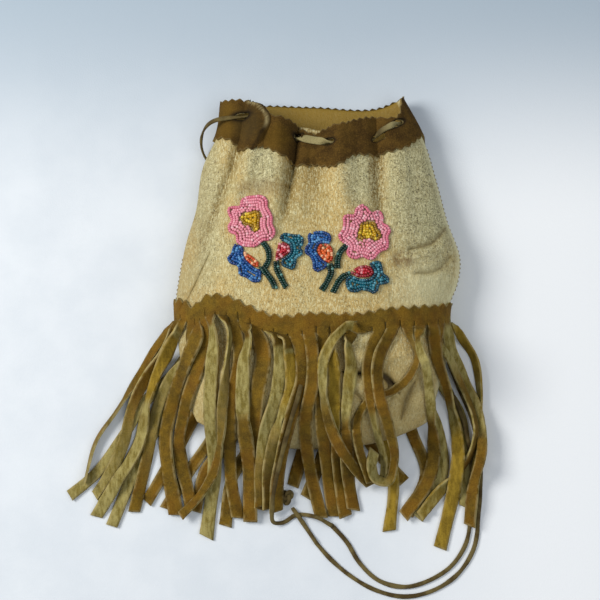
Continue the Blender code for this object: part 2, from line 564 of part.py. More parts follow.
def lay_strip(heights, route, start_left, start_right, step=STRIP_STEP / MM):
    """Lay one strip on what is there and add it to the heights; return its left and right edge points."""
    length = np.linalg.norm(np.diff(np.array(route, float), axis=0), axis=1).sum()
    count = max(4, int(length / step) + 1)
    middle = spline(route, count)
    heading = np.gradient(middle, axis=0)
    heading /= np.linalg.norm(heading, axis=1, keepdims=True)
    side = np.stack([-heading[:, 1], heading[:, 0]], 1)
    first = (np.array(start_right) - np.array(start_left))[:2]
    side[0] = first / np.linalg.norm(first)
    half = STRIP_WIDE / MM / 2
    share = np.linspace(0, 1, 10 * count)
    place = share * (count - 1)
    mid = np.stack([np.interp(place, np.arange(count), column) for column in middle.T], 1)
    cross = np.stack([np.interp(place, np.arange(count), column) for column in side.T], 1)
    x, y, ax, ay = mid[:, 0], mid[:, 1], cross[:, 0], cross[:, 1]
    lean = lean_of(heights, x, y, ax, ay, half)
    lean_station = np.interp(np.arange(count), place, lean)
    lean_station[0] = (start_right[2] - start_left[2]) / np.linalg.norm(first)
    lean = np.interp(place, np.arange(count), lean_station)
    offsets = np.linspace(-half - 0.4, half + 0.4, 9)
    ground = np.max([heights.at(x + ax * o, y + ay * o) - lean * o for o in offsets], axis=0)
    run = share * length
    begin = (start_left[2] + start_right[2]) / 2
    ground = np.where(run < 3.0, np.minimum(ground, begin + 0.3 * run), ground)
    level = rest_on_stations(settle(ground, run), share, count)
    level[0] = begin
    z = np.interp(place, np.arange(count), level)
    steep = np.gradient(z, run)
    thick = SUEDE / MM * np.sqrt(1 + lean ** 2 + steep ** 2) + 0.4
    for o in np.linspace(-half - 0.3, half + 0.3, 21):
        for shift in (0, 0.5):
            heights.raise_to(x + ax * o + ay * shift, y + ay * o - ax * shift, z + lean * o + thick)
    left = np.column_stack([middle - side * half, level - lean_station * half])
    right = np.column_stack([middle + side * half, level + lean_station * half])
    left[0], right[0] = start_left, start_right
    return left, right


def comb(name, rows, order, routes, heights):
    """Join a band's rows and the strips that hang from its columns into one thick sheet."""
    columns = len(rows[0])
    points = [p for row in rows[:-1] for p in row]
    faces = []
    for r in range(len(rows) - 2):
        for c in range(columns - 1):
            faces.append((r * columns + c, r * columns + c + 1, (r + 1) * columns + c + 1, (r + 1) * columns + c))
    base = (len(rows) - 2) * columns
    for slot, route in zip(order, routes):
        left, right = rows[-1][2 * slot], rows[-1][2 * slot + 1]
        path = [(left + right)[:2] / 2, *route]
        side_l, side_r = lay_strip(heights, path, left, right)
        first = len(points)
        for l, r in zip(side_l, side_r):
            points.extend([l, r])
        faces.append((base + 2 * slot, base + 2 * slot + 1, first + 1, first))
        for q in range(first, first + 2 * len(side_l) - 2, 2):
            faces.append((q, q + 1, q + 3, q + 2))
    thing = add_mesh(name, np.array(points) * MM, [f[::-1] for f in faces], "fringe")
    thicken(thing, SUEDE)
    return thing


def front_fringe(heights):
    """The front band and its cut strips, one piece of suede."""
    top = band_top(STATIONS)
    rows = []
    for share in (0, 0.5, 0.85, 1):
        line = [FRONT.over(k, top[k] - BAND_DEEP / MM * share, GAP) / MM for k in range(len(STATIONS))]
        row = []
        for k in range(STRIPS):
            toward = (line[k + 1] - line[k]) / np.linalg.norm(line[k + 1] - line[k])
            row.append(line[k] + toward * SLIT / MM / 2)
            row.append(line[k + 1] - toward * SLIT / MM / 2)
            if share == 0:
                row[-1] = FRONT.over(k + 1, top[k + 1] - PINK_DEPTH / MM, GAP) / MM - toward * SLIT / MM / 2
        rows.append(row)
    order = [int(slot) for slot, route in FRONT_STRIPS]
    return comb("fringe_front", rows, order, [fit(route) for slot, route in FRONT_STRIPS], heights)


def back_fringe(heights):
    """The back band and its strips, flat under the pouch, one piece of suede."""
    half = STRIP_WIDE / MM / 2
    middles = (BACK_STRIP_FIRST + BACK_STRIP_PITCH * np.arange(len(BACK_STRIPS))) / MM * WIDE
    x = np.stack([middles - half, middles + half], 1).reshape(-1)
    tooth = np.tile([0, PINK_DEPTH / MM], len(middles))
    rows = []
    for share in (0, 0.4, 0.8, 1):
        y = np.full(len(x), BACK_BAND_TOP / MM * LONG - BAND_DEEP / MM * share) - (tooth if share == 0 else 0)
        rows.append(list(np.column_stack([x, y, np.zeros(len(x))])))
    return comb("fringe_back", rows, range(len(middles)), [fit(route) for route in BACK_STRIPS], heights)


def tube(name, points, radius, colour, resolution):
    """A round cord along a line of points, with closed ends."""
    line = bpy.data.curves.new(name, "CURVE")
    line.dimensions = "3D"
    run = line.splines.new("POLY")
    run.points.add(len(points) - 1)
    for slot, p in zip(run.points, points):
        slot.co = (*p, 1)
    line.bevel_depth = radius
    line.bevel_resolution = resolution
    line.use_fill_caps = True
    line.materials.append(PAINT[colour])
    thing = bpy.data.objects.new(name, line)
    POUCH.objects.link(thing)
    return thing


def lay_lace(heights, route):
    """Centreline of a stretch of lace laid on what is there, in mm, adding it to the heights."""
    radius, route = LACE / MM / 2, fit(route)
    length = np.linalg.norm(np.diff(np.array(route, float), axis=0), axis=1).sum()
    fine = spline(route, int(length))
    heading = np.gradient(fine, axis=0)
    heading /= np.linalg.norm(heading, axis=1, keepdims=True)
    x, y, ax, ay = fine[:, 0], fine[:, 1], -heading[:, 1], heading[:, 0]
    offsets = np.linspace(-radius, radius, 7)
    ground = np.max([heights.at(x + ax * o, y + ay * o) for o in offsets], axis=0)
    level = settle(ground, np.linspace(0, length, len(fine)), 0.7) + radius
    for o in offsets:
        heights.raise_to(x + ax * o, y + ay * o, level + radius + 0.5)
    return np.column_stack([fine, level])


def inside_out(across, holes):
    """Where the lace is at each place across: 1 outside the pouch and 0 inside, changing at each hole."""
    ramp = 0.28 * HOLE_LONG / MM / 68 / WIDE
    state = np.ones(len(across))
    for k, hole in enumerate(holes):
        turn = np.clip((across - hole) / ramp / 2 + 0.5, 0, 1)
        state += -turn if k % 2 == 0 else turn
    return state


def threaded(across, level, rim, face, sign, state):
    """The lace along the mouth, over the suede where state is 1 and under the hide where it is 0, in mm."""
    outer = HIDE + SUEDE + 3 * GAP + LACE / 2
    inner = -2 * GAP - LACE / 2
    return offset(face, across, along_at(across, level(across), rim), inner + (outer - inner) * state, sign) / MM


def mouth_run():
    """The lace's run through the collar's front holes, outside and inside by turns, in mm."""
    across = np.linspace(-0.88, 0.94, 110)
    state = inside_out(across, [hole for hole, y in LACE_HOLES])
    return threaded(across, FRONT_LEVEL, front_rim, front_inside, 1, state)


def back_run():
    """The lace's run inside the back from the right side to the back hole, and out under the pouch."""
    across = np.linspace(0.84, BACK_HOLE[0] - 0.05, 60)
    state = inside_out(across, [BACK_HOLE[0]])
    return threaded(across, BACK_LEVEL, back_rim, back_inside, -1, state)


def keep_clear(line, things, room, rounds=60):
    """Push a line of points, in mm, away from solids that are nearer than room, and soften its bends."""
    view = bpy.context.evaluated_depsgraph_get()
    trees = [BVHTree.FromObject(thing, view) for thing in things]
    for turn in range(rounds):
        if turn < rounds - 30:
            line[1:-1] = line[1:-1] * 0.7 + (line[:-2] + line[2:]) * 0.15
        for k, point in enumerate(line):
            for tree in trees:
                near, normal, face, far = tree.find_nearest(Vector(point * MM), room)
                if near is None:
                    continue
                away = (Vector(point * MM) - near) / max(far, 1e-7)
                if away.dot(normal) < -0.95:
                    away, far = -away, -far
                line[k] += np.array(away) * (room - far) / MM * 0.6
    return line


def lace_knot(x, y, size=1.3, strand=0.0021, count=48):
    """An overhand knot in the lace's end, drawn up into a small closed loop of three crossings."""
    t = np.linspace(0, 2 * np.pi, count, endpoint=False)
    x = x + size * (np.sin(t) + 2 * np.sin(2 * t))
    y = y + 1.2 * size * (np.cos(t) - 2 * np.cos(2 * t))
    rest = (GROUND.at(x, y) + size * np.sin(3 * t)).max() + strand / MM / 2
    points = np.stack([x, y, rest - size * np.sin(3 * t)], 1)
    knot = tube("lace_knot", points * MM, strand / 2, "lace", 0)
    knot.data.splines[0].use_cyclic_u = True
    knot.data.use_fill_caps = False


def prism(outline, grow=0.0):
    """An upright cutter with a smooth closed outline, pushed outwards by grow, in mm."""
    line = closed_line(outline, 26)
    along = np.roll(line, -1, axis=0) - np.roll(line, 1, axis=0)
    away = np.stack([along[:, 1], -along[:, 0]], 1)
    line = line + grow * away / np.linalg.norm(away, axis=1, keepdims=True)
    count = len(line)
    points = [(*(p * MM), z) for z in (0.02, 0.08) for p in line]
    faces = [tuple(range(count))[::-1], tuple(range(count, 2 * count))]
    faces += [(c, (c + 1) % count, count + (c + 1) % count, count + c) for c in range(count)]
    cutter = add_mesh("outline_cutter", points, faces, "thread")
    hide_cutter(cutter)
    return cutter


def bead_field(name, outline, colour, holes=(), cell=3.8):
    """One field of beads: a low patch over the front, cut to its outline and round its holes."""
    low, high = np.min(fit(outline), axis=0) - 2, np.max(fit(outline), axis=0) + 2
    across = np.linspace(low[0], high[0], int((high[0] - low[0]) / cell) + 2)
    down = np.linspace(low[1], high[1], int((high[1] - low[1]) / cell) + 2)
    patch = add_mesh(name, [on_front(x, y) for y in down for x in across],
                     grid_faces(len(down), len(across)), colour)
    thicken(patch, BEADS)
    cut_with(patch, prism(outline), "INTERSECT")
    for hole in holes:
        cut_with(patch, prism(hole, 1.4 * GAP / MM))


def closed_line(outline, count):
    """Evenly spaced points round a smooth closed outline, anticlockwise."""
    points = fit([*outline[-2:], *outline, *outline[:3]])
    run = np.concatenate([[0], np.cumsum(np.linalg.norm(np.diff(points, axis=0), axis=1))])
    where = np.linspace(run[2], run[2 + len(outline)], 20 * count + 1)
    dense = np.stack([curve_through(np.stack([run, column], 1))(where) for column in points.T], 1)
    length = np.concatenate([[0], np.cumsum(np.linalg.norm(np.diff(dense, axis=0), axis=1))])
    even = np.linspace(0, length[-1], count, endpoint=False)
    line = np.stack([np.interp(even, length, column) for column in dense.T], 1)
    if np.cross(line - line.mean(axis=0), np.roll(line, -1, axis=0) - line.mean(axis=0)).sum() < 0:
        line = line[::-1]
    return line


def on_front(x, y):
    """The place just over the front panel above a plan point in mm."""
    hit = FRONT_TREE.ray_cast(Vector((x * MM, y * MM, 0.2)), Vector((0, 0, -1)))
    return np.array(hit[0] + hit[1] * 2 * GAP)


def stems(name, lines):
    """Green stems and leaves that meet at their foot, one low plate each."""
    for number, line in enumerate(lines):
        path = spline(fit(line), 5)
        heading = np.gradient(path, axis=0)
        heading /= np.linalg.norm(heading, axis=1, keepdims=True)
        side = np.stack([-heading[:, 1], heading[:, 0]], 1) * STEM_WIDE / MM / 2
        flat = [p for a, b in zip(path - side, path + side) for p in (a, b)]
        points = [on_front(x, y) for x, y in flat]
        faces = [(2 * k, 2 * k + 2, 2 * k + 3, 2 * k + 1) for k in range(4)]
        thicken(add_mesh(f"{name}_{number + 1}", points, faces, "green"), BEADS)


def seam_stitches(name, edge, sign, y_low, y_high, pitch=4.0):
    """Whip stitching along a side seam, a thread that winds round the seam's outside."""
    reach = (HIDE + THREAD / 2 + 2 * GAP) / MM
    points = []
    for k in range(2 * int((y_high - y_low) / pitch) + 1):
        y = y_low + k * pitch / 2
        up = 1 if k % 2 else -1
        points.append((edge(y) + sign * reach, y, SEAM_HEIGHT / MM + 2.6 * up))
    return tube(name, np.array(points) * MM, THREAD / 2, "thread", 0)


def recentre():
    """Move everything so the pouch without its lace is centred over the origin."""
    low = np.full(3, 1e9)
    high = np.full(3, -1e9)
    view = bpy.context.evaluated_depsgraph_get()
    for thing in POUCH.objects:
        if not thing.name.startswith("drawstring"):
            co = np.array([v.co for v in thing.evaluated_get(view).to_mesh().vertices])
            low, high = np.minimum(low, co.min(axis=0)), np.maximum(high, co.max(axis=0))
    move = Vector(((low[0] + high[0]) / 2, (low[1] + high[1]) / 2, low[2]))
    for thing in list(POUCH.objects) + list(CUTTERS.objects):
        thing.location -= move
    print("moved by", [round(v * 1000, 3) for v in move], "size", [round(v * 1000, 1) for v in high - low])


clear_scene()
POUCH = bpy.data.collections.new(RESULT)
CUTTERS = bpy.data.collections.new("cutters")
bpy.context.scene.collection.children.link(POUCH)
bpy.context.scene.collection.children.link(CUTTERS)
PAINT = {name: material(name) for name in COLOURS}
STATIONS = strip_stations()

FRONT = Panel("front_panel", front_inside, front_rim, front_rows(), 1)
BACK = Panel("back_panel", back_inside, back_rim, back_rows(), -1)
FRONT_TREE = BVHTree.FromObject(FRONT.thing, bpy.context.evaluated_depsgraph_get())

GROUND = Heights()
back_fringe(GROUND)
tail_one = lay_lace(GROUND, TAIL_ONE)
tail_two = lay_lace(GROUND, TAIL_TWO)
GROUND.cover(FRONT.thing, (-75 * WIDE, 125 * WIDE, -90 * LONG, 30 * LONG))
front_fringe(GROUND)
end_one = lay_lace(GROUND, END_ONE)
end_two = lay_lace(GROUND, END_TWO)

neck_band = collar()
FRONT_LEVEL = curve_through(fit([(-0.9, 131), *LACE_HOLES, (0.95, 131)], "-y"))
BACK_LEVEL = curve_through(fit([(BACK_HOLE[0] - 0.1, BACK_HOLE[1] - 1), BACK_HOLE, (0.3, 126), (0.84, 128)], "-y"))
for across, y in LACE_HOLES:
    drill((neck_band, FRONT.thing), across, FRONT_LEVEL, front_rim, front_inside, 1)
drill((neck_band, BACK.thing), BACK_HOLE[0], BACK_LEVEL, back_rim, back_inside, -1)
neck_line = np.vstack([tail_one[:6][::-1], fit(CLIMB, "xy-"), mouth_run(), back_run(), tail_two[:6]])
neck_line = spline(neck_line, 260)
neck_line = keep_clear(neck_line, (neck_band, FRONT.thing, BACK.thing), LACE / 2 + 2 * GAP)
lace_line = np.vstack([end_one[::-1], tail_one[6:][::-1], neck_line, tail_two[6:], end_two[1:]])
lace_line = spline(lace_line, 480)
at_neck = lace_line[:, 1] > 90 * LONG
lace_line[at_neck] = keep_clear(lace_line[at_neck], (neck_band, FRONT.thing, BACK.thing), LACE / 2 + GAP, 30)
tube("drawstring", lace_line * MM, LACE / 2, "lace", 0)
lace_knot(*fit((4.0, -111.5)))

bead_field("rose_left_petals", ROSE_LEFT, "pink", [ROSE_LEFT_HEART])
bead_field("rose_left_heart", ROSE_LEFT_HEART, "yellow")
bead_field("rose_right_petals", ROSE_RIGHT, "pink", [ROSE_RIGHT_HEART])
bead_field("rose_right_heart", ROSE_RIGHT_HEART, "yellow")
bead_field("bud_left_blue", BUD_LEFT_BLUE, "blue", [BUD_LEFT_ORANGE, ROSE_LEFT])
bead_field("bud_left_orange", BUD_LEFT_ORANGE, "orange")
bead_field("bud_left_teal", BUD_LEFT_TEAL, "teal", [BUD_LEFT_RED])
bead_field("bud_left_red", BUD_LEFT_RED, "red")
bead_field("bud_right_blue", BUD_RIGHT_BLUE, "blue", [BUD_RIGHT_ORANGE])
bead_field("bud_right_orange", BUD_RIGHT_ORANGE, "orange")
bead_field("bud_right_teal", BUD_RIGHT_TEAL, "teal", [BUD_RIGHT_RED, ROSE_RIGHT])
bead_field("bud_right_red", BUD_RIGHT_RED, "red")
stems("stem_left", STEMS_LEFT)
stems("stem_right", STEMS_RIGHT)
seam_stitches("seam_thread_left", left_edge, -1, 14 * LONG, 38 * LONG)
seam_stitches("seam_thread_right", right_edge, 1, 14 * LONG, 112 * LONG)
recentre()
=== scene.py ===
import bpy
import numpy as np
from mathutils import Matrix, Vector
from mathutils.bvhtree import BVHTree


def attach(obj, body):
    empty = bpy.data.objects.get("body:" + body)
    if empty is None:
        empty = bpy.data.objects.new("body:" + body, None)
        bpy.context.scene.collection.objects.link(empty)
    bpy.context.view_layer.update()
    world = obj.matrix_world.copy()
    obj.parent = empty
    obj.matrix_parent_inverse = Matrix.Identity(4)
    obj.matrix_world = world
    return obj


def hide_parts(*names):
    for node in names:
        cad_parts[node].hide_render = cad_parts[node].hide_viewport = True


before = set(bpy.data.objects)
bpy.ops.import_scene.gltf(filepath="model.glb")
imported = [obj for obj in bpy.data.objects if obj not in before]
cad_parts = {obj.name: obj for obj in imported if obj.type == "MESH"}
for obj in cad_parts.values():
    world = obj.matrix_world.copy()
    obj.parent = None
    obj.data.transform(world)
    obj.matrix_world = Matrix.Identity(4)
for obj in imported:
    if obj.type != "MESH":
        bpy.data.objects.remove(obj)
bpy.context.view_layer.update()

# The photo's view: steep, from the pouch's foot
eye = bpy.data.cameras.new("camera")
eye.lens, eye.sensor_width, eye.clip_start, eye.clip_end = 99.96, 36.0, 0.05, 20.0
camera = bpy.data.objects.new("camera", eye)
bpy.context.scene.collection.objects.link(camera)
camera.location = (0.014363, -0.175037, 1.0665)
target = Vector((0.014363, 0.013063, 0))
camera.rotation_euler = (target - camera.location).to_track_quat("-Z", "Y").to_euler()
bpy.context.scene.camera = camera

# Sizes in mm; places are (x, y) on the floor plan before SHIFT, +y towards the mouth
SHIFT = np.array((1.963, -2.737, 0.0))
HIDE, SUEDE, LACE, BEAD, GAP = 1.5, 1.3, 2.8, 2.05, 0.3
SEAM_HEIGHT, BODY_HEIGHT, MOUTH_HEIGHT = 13.0, 47.0, 26.0
BOTTOM_ROUND, BACK_ROUND, PANEL_RUN, BOTTOM_SAG = 42.0, 20.0, 205.0, 17.0
NECK_LIFT, BAND_LIFT = HIDE + SUEDE + LACE + 2 * GAP, HIDE + SUEDE + GAP
BAND_DEEP, STRIP_WIDE, STRIPS = 13.5, 7.4, 27
BACK_BAND_TOP, BACK_PITCH, BACK_FIRST = 3.0, 10.5, -54.0
BEAD_ROW, BEAD_APART = 1.95, 1.42
LACE_HALF, LACE_THIN, KNOT_SIZE = 1.38, 0.8, 1.2
STITCH_PITCH, STITCH_REACH, THREAD_HALF = 2.8, 2.75, 0.42
# Pinked edges: pitch and depth
PINK_COLLAR, PINK_BAND = (5.2, 1.8), (7.2, 2.8)
# Points along each strip, the lace, the knot, each thread and a bead field's outline and holes
STATIONS, LACE_POINTS, KNOT_POINTS, THREAD_POINTS, FIELD_POINTS, RIM_POINTS = 84, 1100, 120, 2400, 1040, 240
# Columns and rows of points over the panels and the collar's front, its back columns, and points round a bead
FRONT_GRID, BACK_GRID, COLLAR_GRID, COLLAR_BACK, BEAD_GRID = (190, 216), (130, 120), (340, 34), 150, (8, 6)
UPWARD = (0.0, 0.0, 1.0)

# Edges of the panels as (y, x); rims, the collar's and the band's edges as (across, y)
LEFT_EDGE = ((-64, -52), (-53, -57), (-35, -61), (-13, -64), (13, -65.5), (32, -63), (49, -60), (70, -54),
             (102, -49), (123, -40), (146, -37))
RIGHT_EDGE = ((-64, 93), (-44, 99), (-19, 106), (11, 107), (24, 112), (38, 114), (65, 106), (91, 99.5),
              (123, 90), (146, 78))
FRONT_RIM = ((-1, 143), (-0.71, 139), (-0.5, 129), (-0.18, 126), (0, 123), (0.21, 123), (0.61, 129),
             (0.82, 130), (1, 147))
BACK_RIM = ((-1, 143), (-0.6, 144), (0, 143), (0.8, 143), (1, 147))
COLLAR_LOW = ((-1, 119), (-0.9, 118), (-0.68, 109), (-0.5, 110), (-0.33, 104), (-0.21, 99), (0, 98),
              (0.2, 98), (0.26, 102), (0.53, 105.5), (0.8, 112), (1, 122))
# The collar's upper edge over the rim as (across, height)
COLLAR_RISE = ((-1, 2), (-0.3, 2), (-0.17, -1.5), (-0.04, -3), (0.04, 0), (0.15, 2), (1, 2))
BACK_COLLAR_LOW, BACK_COLLAR_RISE = 118.0, 2.0
BAND_TOP = ((-1, 13.5), (-0.93, 12), (-0.86, 7.5), (-0.78, 12), (-0.62, 12), (-0.45, 5), (-0.33, 0),
            (0, 0), (0.4, 1), (0.55, 4), (0.75, 6), (0.89, 8.5), (1, 12))
# Big folds of the front: depth, width and the line as (y, x, strength)
FOLDS = (
    (-7.0, 4.5, ((30, -51, 0), (52, -46, 0.6), (80, -37, 1), (105, -29, 1), (150, -20, 0.6))),
    (3.0, 5.0, ((30, -42, 0), (55, -38, 0.7), (98, -20, 1), (150, -12, 0.6))),
    (-9.0, 4.0, ((45, 0, 0), (60, 2, 0.25), (80, 5, 0.7), (100, 8, 1), (150, 12, 0.8))),
    (-6.0, 11.0, ((40, 18, 0), (80, 20, 0.6), (105, 21, 1), (150, 21, 1))),
    (3.0, 7.0, ((40, -4, 0), (90, -4, 1), (150, -2, 1))),
    (4.0, 6.5, ((40, 40, 0), (90, 39, 1), (150, 38, 1))),
    (-4.5, 5.0, ((40, 64, 0), (85, 63, 1), (150, 60, 1))),
    (2.0, 6.0, ((40, 80, 0), (85, 78, 1), (150, 74, 1))),
    (-3.0, 3.5, ((-75, 70, 0.4), (-60, 74, 1), (-44, 79, 0.8), (-30, 82, 0))),
)
# Small creases: height, width, and a line of (x, y) points
CREASES = (
    (-1.3, 1.4, ((-60, -14), (-30, -20), (10, -24), (50, -23), (95, -12))),
    (1.0, 3.0, ((-50, -24), (10, -31), (60, -30), (95, -20))),
    (-1.6, 1.6, ((42, -21), (50, -20), (58, -21))),
    (-3.8, 2.2, ((38, -37), (46, -38), (56, -38))),
    (-3.8, 2.2, ((58, -36), (65, -38.5), (70, -43), (73, -49))),
    (-2.6, 3.4, ((84, -41), (79, -51), (75, -64))),
    (4.2, 5.5, ((43, -29), (56, -29))),
    (4.0, 5.0, ((44, -46), (55, -48))),
    (5.0, 7.5, ((66, -28), (77, -28), (87, -33))),
    (2.6, 4.0, ((60, -46), (65, -50))),
    (4.0, 5.5, ((71, -54), (71, -63), (70, -73))),
    (4.2, 5.0, ((93, -45), (89, -55), (83, -68))),
    (-2.4, 1.6, ((43, -47), (50, -53), (52, -62))),
    (-2.4, 1.6, ((60, -56), (65, -64), (66, -72))),
    (-2.2, 1.6, ((60, -38), (66, -44), (66, -52))),
    (-2.6, 1.1, ((-43, 42), (-48, 32), (-55, 17), (-62, 4))),
    (1.6, 2.4, ((-48, 42), (-53, 31), (-60, 16))),
    (-2.4, 2.2, ((106, 60), (96, 47), (80, 41))),
    (1.3, 2.5, ((108, 52), (98, 41), (84, 36))),
    (-2.2, 2.2, ((108, 40), (98, 29), (84, 26))),
)
# Edge of the collar's ear as (y, x), then the lace holes as (across, y)
EAR = ((104, -21), (108.7, -18.6), (112.7, -15.6), (118.8, -12.7), (125.4, -9.1), (129.5, -8.8),
       (134.6, -11.8), (138.7, -15.8), (142, -21.2))
HOLES = ((-0.75, 132.5), (-0.26, 118.5), (0.11, 113.5), (0.53, 117.4), (0.79, 127))
BACK_HOLE = (-0.68, 127)
HOLE_LONG, HOLE_WIDE = 10.8, 4.6

# Slits of the front band as (strip, share of the band's length)
SLOTS = ((0, 0), (4, 0.12), (6, 0.158), (12, 0.375), (19, 0.68), (24, 0.91), (27, 1))
